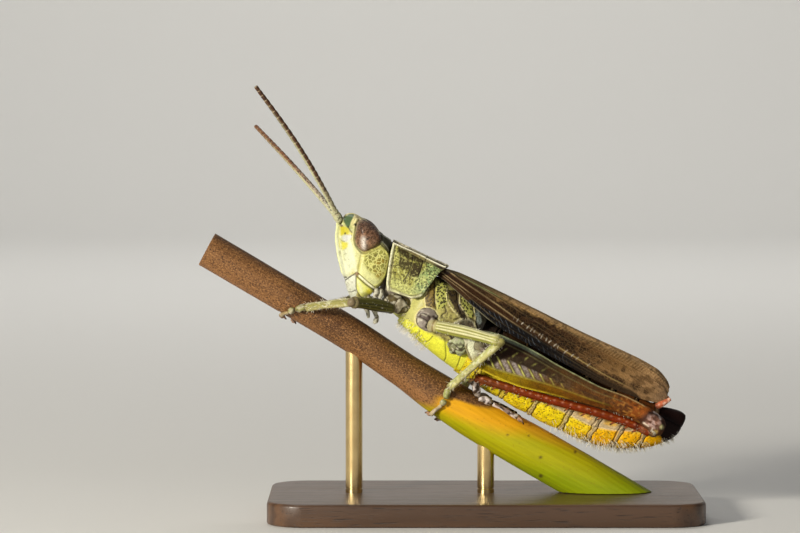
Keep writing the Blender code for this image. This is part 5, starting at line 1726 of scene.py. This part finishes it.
for label, at in SPOTS.items():
    fore, side = label.startswith("fore"), 1 if label.endswith("right") else -1
    feet = FEET[label]
    knee, hip, ankle = np.array(at["knee"]), np.array(at["hip"]), np.array(feet[0])
    aim = knee - hip
    if fore:
        hue, dark, pale, cap = (
            (0.06, 0.056, 0.006), (0.016, 0.014, 0.004), (0.14, 0.13, 0.028), (0.2, 0.15, 0.085)
        )
        shin, pads, end = (0.29, 0.265, 0.085), (0.25, 0.235, 0.07), (0.34, 0.25, 0.12)
        parts = [
            knob(
                np.array(at["root"]) + (-0.04, 0, 0.02), (0.56, 0.4, 0.34), (-1, side * 0.2, -0.25),
                (0.105, 0.08, 0.03), rows=60, columns=72, lumps=0.1, seed=61, islands=(0.3, 0.26, 0.17),
            ),
            knob(hip, (0.2, 0.25, 0.22), aim, (0.12, 0.1, 0.035), lumps=0.08, seed=63),
        ]
    else:
        hue, dark, pale, cap = (0.36, 0.365, 0.07), (0.11, 0.085, 0.024), (0.72, 0.67, 0.4), (0.3, 0.27, 0.08)
        shin, pads, end = (0.45, 0.455, 0.175), (0.33, 0.345, 0.11), (0.48, 0.38, 0.22)
        collar, _, share = limb([hip - aim * 0.03, hip + aim * 0.1], (0.25, 0.265, 0.25), 30, 48)
        banding = over((0.56, 0.5, 0.22), bell(share - 0.5, 0.13) * 0.85, (0.15, 0.09, 0.03))
        parts = [
            knob(
                at["root"], (0.46, 0.44, 0.34), (0.2, side * 0.35, -1), (0.1, 0.07, 0.06), rows=64,
                columns=80, lumps=0.06, seed=66, islands=(0.27, 0.225, 0.185),
            ),
            knob(hip + (-0.02, 0, -0.02), (0.2, 0.29, 0.27), aim, (0.42, 0.37, 0.2), lumps=0.05, seed=63),
            patch(collar, banding, marks=(0.3, 0, 0)),
        ]
    thigh, turn, share = limb(
        [hip, hip * 0.5 + knee * 0.5 + (0, 0, 0.04), knee], (0.2, 0.255, 0.27, 0.255, 0.225, 0.24), 110, 64,
        ridges=keels,
    )
    parts.append(patch(thigh, striped(turn, share, hue, dark, pale, cap), marks=(0.25, 0, 0)))
    parts.append(
        knob(
            knee + (ankle - knee) * 0.02, (0.23, 0.18, 0.185) if fore else (0.24, 0.195, 0.19), ankle - knee,
            cap, lumps=0.07, seed=65,
        )
    )
    bend = knee * 0.5 + ankle * 0.5 + (0.0, side * 0.05, 0.04)
    shank, turn, share = limb(
        [knee, knee * 0.85 + ankle * 0.15 + (0, side * 0.03, 0.02), bend, ankle],
        (0.17, 0.185, 0.165, 0.155, 0.165, 0.18), 100, 44,
        ridges=lambda t, s: 0.05 * np.cos(4 * t) * ramp(s, 0.05, 0.2),
    )
    tone = painted(
        shin,
        (bell(np.sin(turn) - 0.15, 0.16) * 0.65, (0.26, 0.24, 0.08) if fore else (0.24, 0.22, 0.06)),
        (bell(np.sin(turn) - 0.62, 0.16) * 0.7, (0.74, 0.66, 0.38)),
        (fall(np.sin(turn), -0.9, -0.4) * 0.5, (0.6, 0.52, 0.22)),
        (ramp(grain(shank, 0.13, 67), 0.52, 0.68) * 0.45, (0.2, 0.195, 0.065)),
        (fall(grain(shank, 0.1, 68), 0.28, 0.4) * 0.45, (0.74, 0.74, 0.52)),
        (bell(share - 0.97, 0.03) * 0.8, (0.16, 0.12, 0.045)),
    )
    parts.append(patch(shank, tone, marks=(0.3, 0, 0)))
    hairy_legs += [(shank, 90, 0.13), (thigh, 60, 0.1)]
    parts += foot(feet[:4], side, pads, end, feet[4])
    name = label.replace("fore", "front")
    piece(
        label + "_leg", parts, leg_shell, "leg", f"coxa_{name}", f"femur_{name}", f"tibia_{name}",
        f"tarsus_{name}",
    )
    down = np.cross(ankle - knee, (0, 1, 0))
    down *= np.sign(down[2]) * -1 if abs(down[2]) > abs(down[0]) else (-1 if fore else 1) * np.sign(down[0])
    down /= np.linalg.norm(down)
    for k, t in enumerate(np.linspace(0.45, 0.95, 6)):
        for row in (-1, 1):
            out = down * 0.8 + (0, row * 0.55, 0)
            spine_spots.append((
                knee + (ankle - knee) * t + out * 0.13 + (0, 0, 0.02),
                out * 0.8 + (ankle - knee) / np.linalg.norm(ankle - knee) * 0.6,
                (0.028, 0.028, 0.17 + 0.05 * (t > 0.9)), (0.3, 0.2, 0.08),
            ))

# Jumping legs. Each long tapering thigh has a herringbone of pale ridges on its outer face between
# two keels, and a rounded brown knee; the red shin folds under it with two rows of dark spines.
HIND_FEMUR = (
    (1.95, -1.78, -2.48, 0.26, 1.34), (2.4, -1.46, -2.82, 0.36, 1.48), (3.2, -1.27, -3.0, 0.44, 1.6),
    (4.5, -1.22, -2.9, 0.45, 1.62), (6.0, -1.27, -2.55, 0.41, 1.6), (7.5, -1.26, -2.2, 0.35, 1.55),
    (9.0, -1.09, -1.88, 0.29, 1.5), (9.7, -1.08, -1.8, 0.28, 1.48), (10.2, -1.14, -1.98, 0.34, 1.47),
    (10.65, -1.22, -2.02, 0.33, 1.46), (10.88, -1.42, -1.88, 0.2, 1.46),
)
HIND_TIBIA = (
    (10.46, -2.03, 1.46), (9.6, -2.06, 1.46), (8.0, -2.33, 1.46), (6.0, -2.79, 1.42), (4.4, -3.12, 1.3),
    (2.95, -3.42, 1.06),
)
LOW_KEEL = ((1.9, -2.38), (3.2, -2.68), (4.5, -2.45), (5.9, -2.16), (7.5, -1.93), (9.0, -1.72), (11.0, -1.7))
HIND_FEET = {
    side: [
        (2.95, side * 1.02, -3.52), grip(3.5, 40, 0.17, side), grip(4.15, 36, 0.16, side),
        grip(5.35, 36, 0.15, side), grip(5.72, 40, 0.06, side),
    ]
    for side in (-1, 1)
}

thigh_shell = cuticle(
    "thigh_shell", 0.07, ink=(0.026, 0.015, 0.005), rough=0.52, coat=0.02, mottle=0.85, reach=0.32, gloss=0.08
)
shin_shell = cuticle(
    "shin_shell", 0.06, ink=(0.05, 0.008, 0.002), rough=0.44, coat=0.05, mottle=0.85, reach=0.3, gloss=0.1
)
for label, side in (("left", -1), ("right", 1)):
    rows, columns = 360, 120
    hip_end, knee_end = HIND_FEMUR[0][0], HIND_FEMUR[-1][0]
    share = 0.5 - 0.5 * np.cos(np.linspace(0.12, math.pi - 0.06, rows))
    x = (hip_end + (knee_end - hip_end) * share)[:, None]
    upper, lower, thick, away = (smooth(HIND_FEMUR, x, column) for column in (1, 2, 3, 4))
    turn = turns(columns)[None, :]
    thin = 2 / 1.8
    thigh = grid(
        x, side * (away + thick * fuller(np.cos(turn), thin)),
        (upper + lower) / 2 + (upper - lower) / 2 * fuller(np.sin(turn), thin),
    )
    x, z = thigh[..., 0], thigh[..., 2]
    outer = ramp(np.cos(turn) + 0 * x, -0.05, 0.2)
    shaft = ramp(x, 2.3, 2.9) * fall(x, 8.6, 9.5)
    top_gap, low_gap = upper - z, z - smooth(LOW_KEEL, x)
    middle = (upper - 0.3) * 0.5 + smooth(LOW_KEEL, x) * 0.5
    rising = np.abs(z - middle)
    pitch = 0.47
    below = ramp(middle - z, -0.01, 0.01)
    phase = np.mod(x - rising * (0.5 + 0.65 * below + 0.05 * (x - 3)), pitch) / pitch
    arms = (
        bell(np.minimum(phase, 1 - phase) * pitch, 0.032 + 0.012 * below)
        * (0.5 + 0.5 * ramp(grain(thigh, 0.2, 53), 0.3, 0.6))
    )
    field = ramp(top_gap, 0.26, 0.34) * ramp(low_gap, 0.02, 0.09) * outer * shaft
    arms = arms * field * ramp(rising, 0.015, 0.05)
    short = (
        bell(rising - 0.25, 0.17, 4) * (0.25 + 0.75 * fall(x, 4.3, 5.1))
        * ramp(grain(thigh, 0.16, 55), 0.25, 0.5)
    )
    arms = arms * (below + (1 - below) * short)
    spine_line = bell(z - middle, 0.022) * field
    top_keel = bell(top_gap - 0.035, 0.024) * ramp(x, 2.2, 2.8) * fall(x, 9.5, 9.9)
    second_keel = bell(top_gap - 0.27, 0.026) * outer * shaft
    low_keel = bell(low_gap, 0.042) * outer * ramp(x, 2.2, 2.8) * fall(x, 9.0, 9.7)
    hem_keel = bell(z - lower - 0.03, 0.035) * ramp(x, 2.2, 2.8) * fall(x, 9.2, 9.7)
    knee = ramp(x, 9.72, 9.95)
    crescent = stroke([(9.98, -1.3), (10.25, -1.22), (10.6, -1.36), (10.74, -1.6)], x, z, 0.05)
    lobe = stroke([(9.9, -1.8), (10.15, -1.62), (10.45, -1.64), (10.62, -1.78)], x, z, 0.028)
    dimple = bell(np.hypot(x - 10.34, z + 1.5), 0.11, 4)
    cloud, small = grain(thigh * (0.6, 1, 1), 0.3, 51), grain(thigh, 0.1, 52)
    specks = grain(thigh, 0.06, 54)
    lilac = field * below * ramp(np.sin(math.pi * phase), 0.45, 0.95) * fall(x, 4.6, 5.8)
    top_band = fall(top_gap, 0.14, 0.19) * ramp(x, 2.0, 2.6)
    paint = painted(
        (0.13, 0.085, 0.05),
        (ramp(small, 0.3, 0.65) * 0.75, (0.036, 0.02, 0.01)),
        (ramp(x, 4.6, 6.0) * (0.45 + 0.5 * ramp(cloud, 0.35, 0.6)), (0.066, 0.034, 0.007)),
        (ramp(specks, 0.6, 0.74) * ramp(x, 4.2, 5.4) * fall(x, 6.4, 8.4) * 0.55, (0.185, 0.105, 0.04)),
        (lilac * (0.3 + 0.65 * ramp(specks, 0.35, 0.55)), (0.3, 0.25, 0.225)),
        ((1 - below) * ramp(top_gap, 0.1, 0.18) * outer * fall(x, 5.2, 6.8) * 0.88, (0.024, 0.014, 0.007)),
        (top_band * 0.9, (0.12, 0.145, 0.1)),
        (top_band * ramp(x + 0.6 * (cloud - 0.5), 4.3, 5.2) * 0.95, (0.05, 0.03, 0.012)),
        # painted shadow: the shadow of the middle leg laid dark over the base of the thigh
        (
            area([
                (2.85, -2.7), (3.0, -2.88), (3.34, -2.8), (3.36, -2.5), (3.62, -2.1), (3.98, -1.78),
                (4.58, -1.56), (4.6, -1.45), (4.31, -1.38), (3.4, -1.5), (3.15, -2.0),
            ], x, z, 0.05) * outer * 0.92,
            (0.024, 0.01, 0.005),
        ),
    )
    under = fall(low_gap, -0.05, 0.0)
    low_tone = painted(
        (0.26, 0.18, 0.004),
        (ramp(x, 4.0, 5.6), (0.175, 0.078, 0.003)),
        (ramp(x, 6.0, 8.2), (0.215, 0.064, 0.007)),
        (ramp(small, 0.5, 0.8) * 0.35, (0.12, 0.055, 0.01)),
    )
    lime = over((0.52, 0.51, 0.125), ramp(x, 5.0, 6.6), (0.3, 0.2, 0.035))
    paint = painted(
        paint,
        (under, low_tone),
        (ramp(x + 2.5 * (cloud - 0.5), 5.2, 7.6) * 0.66, (0.14, 0.048, 0.009)),
        (ramp(x + (cloud - 0.5), 8.1, 9.2) * 0.88, (0.27, 0.07, 0.011)),
        (ramp(cloud, 0.5, 0.75) * ramp(x, 6.0, 7.0) * fall(x, 9.2, 9.8) * 0.65, (0.055, 0.024, 0.01)),
        (ramp(small, 0.6, 0.8) * ramp(x, 7.5, 9.0) * fall(x, 9.5, 9.9) * 0.55, (0.46, 0.2, 0.035)),
        (fall(small, 0.22, 0.36) * ramp(x, 6.5, 8.5) * fall(x, 9.5, 9.9) * 0.6, (0.03, 0.013, 0.006)),
        (arms * (0.95 - 0.8 * ramp(x, 5.7, 7.6)), lime),
    )
    inner = 1 - outer
    core = np.exp(-(((x - 10.31) / 0.28) ** 4 + ((z + 1.54) / 0.27) ** 4))
    base = fall(x, 2.25, 2.75)
    plates = grain(thigh, 0.3, 56)
    paint = painted(
        paint,
        (spine_line * 0.35, (0.05, 0.035, 0.02)),
        (low_keel * 0.55 * fall(x, 4.6, 6.6), (0.42, 0.36, 0.03)),
        (low_keel * 0.6 * ramp(x, 4.8, 6.2) * fall(x, 7.6, 8.8), (0.3, 0.2, 0.02)),
        (second_keel * 0.3, (0.26, 0.24, 0.09)),
        (top_keel * (0.6 + 0.3 * ramp(small, 0.4, 0.6)), (0.36, 0.4, 0.2)),
        (top_keel * ramp(x, 7.5, 8.8) * 0.7, (0.36, 0.17, 0.06)),
        (hem_keel * 0.95 * fall(x, 5.2, 7.2), (0.72, 0.55, 0.03)),
        (inner * 0.8, (0.3, 0.17, 0.025)),
        (ramp(x - 0.5 * (z + 1.5), 9.65, 9.95) * 0.93, (0.036, 0.014, 0.009)),
        (fall(z, -1.86, -1.66) * ramp(x, 9.6, 9.9) * 0.7, (0.11, 0.048, 0.018)),
        (core * 0.95, (0.3, 0.15, 0.105)),
        (core * ramp(small, 0.5, 0.7) * 0.8, (0.56, 0.38, 0.33)),
        (core * fall(small, 0.26, 0.42) * 0.85, (0.06, 0.025, 0.016)),
        (crescent * 0.9, (0.02, 0.009, 0.007)),
        # painted highlight: a pale arc over the top of the knee
        (stroke([(10.16, -1.17), (10.36, -1.17), (10.52, -1.29)], x, z, 0.04) * 0.85, (0.58, 0.47, 0.43)),
        (lobe * 0.6, (0.08, 0.035, 0.02)),
        (stroke([(9.96, -1.76), (10.21, -1.78)], x, z, 0.035) * 0.85, (0.66, 0.55, 0.42)),
        (stroke([(10.41, -1.98), (10.41, -1.78)], x, z, 0.035) * 0.8, (0.6, 0.5, 0.4)),
        (bell(np.hypot(x - 10.72, z + 1.56), 0.1, 4) * 0.75, (0.46, 0.42, 0.2)),
        (bell(np.hypot(x - 10.59, z + 1.86), 0.1, 4) * 0.8, (0.34, 0.24, 0.07)),
        (base * 0.85, (0.27, 0.245, 0.14)),
        (base * ramp(plates, 0.5, 0.6) * 0.85, (0.6, 0.61, 0.42)),
        (base * bell(plates - 0.5, 0.04) * 0.9, (0.04, 0.03, 0.016)),
    )
    height = (
        0.03 * arms + 0.03 * top_keel + 0.018 * second_keel + 0.035 * low_keel + 0.03 * hem_keel + 0.02 * knee
        + 0.03 * crescent - 0.03 * lobe - 0.03 * dimple + 0.012 * (cloud - 0.5) - 0.02
    )
    thigh = raised(thigh, height)
    pits = grid(0.3 * (1 - arms) * (1 - top_keel) * (1 - low_keel) * (1 - knee), 0, 0)
    piece(
        f"hind_thigh_{label}", [patch(thigh, paint, marks=pits)], thigh_shell, "thigh", f"femur_hind_{label}"
    )

    hock = [(a, side * b, c) for a, c, b in HIND_TIBIA]
    shank, turn, share = limb(
        hock, (0.16, 0.175, 0.18, 0.18, 0.18, 0.18, 0.2), 260, 44,
        ridges=lambda t, s: 0.07 * np.cos(3 * t + 1.0) * ramp(s, 0.03, 0.12),
    )
    bases = np.exp(
        -(((np.mod(shank[..., 0], 0.34) - 0.17) / 0.045) ** 2 + ((np.sin(turn) - 0.35) / 0.22) ** 2)
    ) * ramp(np.cos(turn), 0, 0.3)
    tone = painted(
        (0.18, 0.021, 0.002),
        (ramp(grain(shank * (0.5, 1, 1), 0.22, 71), 0.5, 0.8) * 0.5, (0.13, 0.02, 0.003)),
        (ramp(share, 0.62, 0.92) * 0.7, (0.12, 0.034, 0.008)),
        (bases * 0.85, (0.58, 0.26, 0.17)),
        (bell(np.sin(turn) - 0.45, 0.16) * 0.4, (0.4, 0.1, 0.015)),
        (bell(share - 0.05, 0.02) * 0.5, (0.3, 0.13, 0.06)),
        (bell(share - 0.085, 0.012) * 0.7, (0.04, 0.015, 0.01)),
    )
    hinge = knob(
        (10.48, side * 1.46, -1.92), (0.17, 0.24, 0.2), (0.1, 0, -1), (0.06, 0.026, 0.014), rows=50,
        columns=60, lumps=0.08, seed=73, islands=(0.15, 0.075, 0.03),
    )
    piece(
        f"hind_shin_{label}", [patch(shank, tone, marks=(0.3, 0, 0)), hinge], shin_shell, "shin",
        f"tibia_hind_{label}",
    )
    for k in range(12):
        t = 0.14 + 0.8 * k / 11
        at = np.array([np.interp(t, np.linspace(0, 1, 6), [p[i] for p in hock]) for i in range(3)])
        ahead = np.array([-1, 0, -0.2])
        for row in (-1, 1):
            out = np.array([0, side * 0.5 * row, -0.8])
            spine_spots.append(
                (at + out * 0.15, out * 0.95 + ahead * 0.5, (0.036, 0.036, 0.26), (0.3, 0.075, 0.015))
            )
    for row in (-1, 1):
        for long, droop in ((0.34, 0.3), (0.26, -0.25)):
            end = np.array(hock[-1])
            spine_spots.append((
                end + (0, row * 0.1, -0.08), np.array([-0.55, row * 0.35, -0.5 - droop]),
                (0.036, 0.036, long), (0.36, 0.16, 0.06),
            ))

    root = knob(
        (1.74, side * 1.0, -2.52), (0.5, 0.4, 0.44), (0.6, side * 0.3, 0.4), (0.2, 0.2, 0.1), rows=80,
        columns=96, lumps=0.14, seed=75, islands=(0.38, 0.41, 0.23),
    )
    cup = knob(
        (2.02, side * 1.24, -2.14), (0.3, 0.34, 0.24), (0.9, side * 0.4, 0.2), (0.12, 0.09, 0.06), rows=60,
        columns=72, lumps=0.1, seed=77, islands=(0.52, 0.5, 0.34),
    )
    # the hind feet take strong painted highlights and shade in flecks
    toes = foot(
        HIND_FEET[side][:4], side, (0.27, 0.225, 0.2), (0.24, 0.16, 0.13), HIND_FEET[side][4], 1.12, 0.95
    )
    hairy_legs += [(shank, 110, 0.11)]
    piece(
        f"hind_foot_{label}", [root, cup, *toes], leg_shell, "leg", f"coxa_hind_{label}",
        f"tarsus_hind_{label}",
    )

# Spines. Short stiff thorns of horn, straw or red with black points. They stand in two rows along
# each shin, and four longer spurs close the end of each hind shin.
thorn = Finish("shin_thorns", 0.3, coat_weight=0.4, coat_roughness=0.2)
up = thorn.kept("along", 2)
toned = thorn.tone(thorn.kept("paint"), 0.75 + thorn.noise(0.05, thorn.spot()) * 0.5)
thorn.wear(thorn.mix(up.between(0.45, 0.8), toned, (0.012, 0.006, 0.004)), 0.28 + up * 0.1, up, depth=0.004)
spike = turned_shape(
    [(-0.05, 0.7), (0.0, 1.0), (0.15, 1.0), (0.45, 0.75), (0.8, 0.38), (0.98, 0.08), (1.0, 0.02)], 10
)
spots, aims, sizes, paints = (np.array(column) for column in zip(*spine_spots))
copies("shin_spines", spots, aims, sizes, paints, spike, thorn, "shin", vary=0.12, seed=11)

# Hairs. Fine pale bristles under the tail and the breast, and shorter ones on the legs, each a slim
# solid cone let into the skin and leaning along the body or the leg.
BRISTLE = ((0.86, 0.82, 0.68), (0.6, 0.52, 0.36))


def bristles(name, skins, slot, seed, where=None, drift=None):
    """Hairs on grids of skin, from a count and a length for each.

    where gives the share of hairs kept at each point and drift the way they lean; without these
    the hairs stand everywhere and lean along the limb.
    """
    chance = np.random.default_rng(seed)
    roots, aims, sizes, tints, places = [], [], [], [], []
    for k, (skin, count, length) in enumerate(skins):
        ahead, out = np.gradient(skin, axis=0), outward(skin)
        fits = np.argwhere(
            where(skin) > chance.random(skin.shape[:2]) if where else np.ones(skin.shape[:2], bool)
        )
        fits = fits[(fits[:, 0] > 3) & (fits[:, 0] < len(skin) - 4)]
        for i, j in fits[chance.choice(len(fits), count)]:
            ahead_here = ahead[i, j] / np.linalg.norm(ahead[i, j]) * 0.7 if where is None else np.array(drift)
            roots.append(skin[i, j] - out[i, j] * 0.012)
            aims.append(out[i, j] + ahead_here + chance.normal(0, 0.22, 3))
            sizes.append((0.01, 0.01, length * chance.uniform(0.6, 1.3)))
            tints.append(BRISTLE[0] if chance.random() < 0.7 else BRISTLE[1])
            places.append((0.02 + 0.95 * i / len(skin), (k + 0.02 + 0.95 * j / skin.shape[1]) / len(skins)))
    thin = turned_shape([(0, 1.0), (0.5, 0.72), (0.98, 0.12)], 4)
    copies(
        name, *map(np.array, (roots, aims, sizes, tints)), thin, bristle, slot, vary=0.15, seed=seed,
        rooted=np.array(places),
    )


bristle = Finish("pale_bristle", 0.45, specular_ior_level=0.3)
bristle.wear(bristle.tone(bristle.kept("paint"), 0.7 + bristle.kept("along", 2) * 0.5))
bristles(
    "tail_hairs", hairy_tail, "abdomen", 5,
    lambda s: ramp(s[..., 0], 6.0, 9.0) * fall(s[..., 2] - s[..., 2].min(1, keepdims=True), 0.15, 0.55),
    (0.5, 0, -0.1),
)
bristles(
    "breast_hairs", hairy_breast, "thorax", 6,
    lambda s: fall(s[..., 2] - s[..., 2].min(1, keepdims=True), 0.2, 0.6) * fall(s[..., 0], -0.2, 1.2),
    (-0.1, 0, -0.3),
)
bristles("leg_hairs", hairy_legs, "leg", 7)

# Studio. A pale seamless floor that curves up into a backdrop, a large soft key light ahead and to
# the left, a broad fill, a rim light and one on the backdrop; the camera looks at the left side.
FLOOR = dict(near=-400, bend=260, curve=90, tall=700, half=700)
sweep = [(y, 0.0) for y in (FLOOR["near"], -60, FLOOR["bend"])]
for rise in np.radians(range(10, 91, 10)):
    sweep.append(
        (FLOOR["bend"] + FLOOR["curve"] * math.sin(rise), FLOOR["curve"] - FLOOR["curve"] * math.cos(rise))
    )
sweep.append((FLOOR["bend"] + FLOOR["curve"], FLOOR["tall"]))
floor = bpy.data.meshes.new("pale_floor")
spots = [(x, y, z) for y, z in sweep for x in (-FLOOR["half"], FLOOR["half"])]
floor.from_pydata(
    (np.array(spots) * MM).tolist(), [],
    [(2 * k, 2 * k + 1, 2 * k + 3, 2 * k + 2) for k in range(len(sweep) - 1)],
)
floor.shade_smooth()
backdrop = in_scene("pale_floor", floor)
paper = Finish("studio_paper", 0.9)
paper.shader.inputs["Base Color"].default_value = (0.78, 0.77, 0.74, 1)
floor.materials.append(paper.material)

world = bpy.data.worlds.new("studio")
bpy.context.scene.world = world
world.use_nodes = True
world.node_tree.nodes["Background"].inputs[0].default_value = (0.95, 0.97, 1.0, 1)
world.node_tree.nodes["Background"].inputs[1].default_value = 0.09
look_at = np.array([-2.08, 0.0, LIFT + 0.146])


def aimed(thing, spot, at):
    """A lamp or the camera put at spot and turned towards at."""
    thing.location = spot * MM
    thing.rotation_euler = mathutils.Vector(at - spot).to_track_quat("-Z", "Y").to_euler()


for name, spot, size, power, tint, lit in (
    ("key", (-110, -125, 52), 30, 0.36, (1.0, 0.95, 0.84), look_at),
    ("fill", (60, -140, 60), 120, 0.02, (0.95, 0.97, 1.0), look_at),
    ("rim", (-20, 60, 130), 60, 0.05, (1.0, 0.98, 0.95), look_at),
    ("backdrop", (0, 150, 190), 160, 0.3, (1.0, 0.99, 0.97), (0, 340, 60)),
):
    lamp = bpy.data.lights.new(name, "AREA")
    lamp.shape, lamp.size, lamp.energy, lamp.color = "DISK", size * MM, power, tint
    aimed(in_scene(name, lamp), np.array(spot), np.array(lit))

VIEW_FROM, RISE, SEEN_WIDE, SENSOR = 160.0, math.radians(3), 800 / 24, 36
lens = bpy.data.cameras.new("camera")
lens.sensor_width, lens.lens = SENSOR, SENSOR * VIEW_FROM / SEEN_WIDE
lens.clip_start, lens.clip_end = 0.01, 10
camera = in_scene("camera", lens)
aimed(camera, look_at + VIEW_FROM * np.array([0, -math.cos(RISE), math.sin(RISE)]), look_at)
bpy.context.scene.camera = camera

bpy.context.scene.view_settings.view_transform = "Standard"
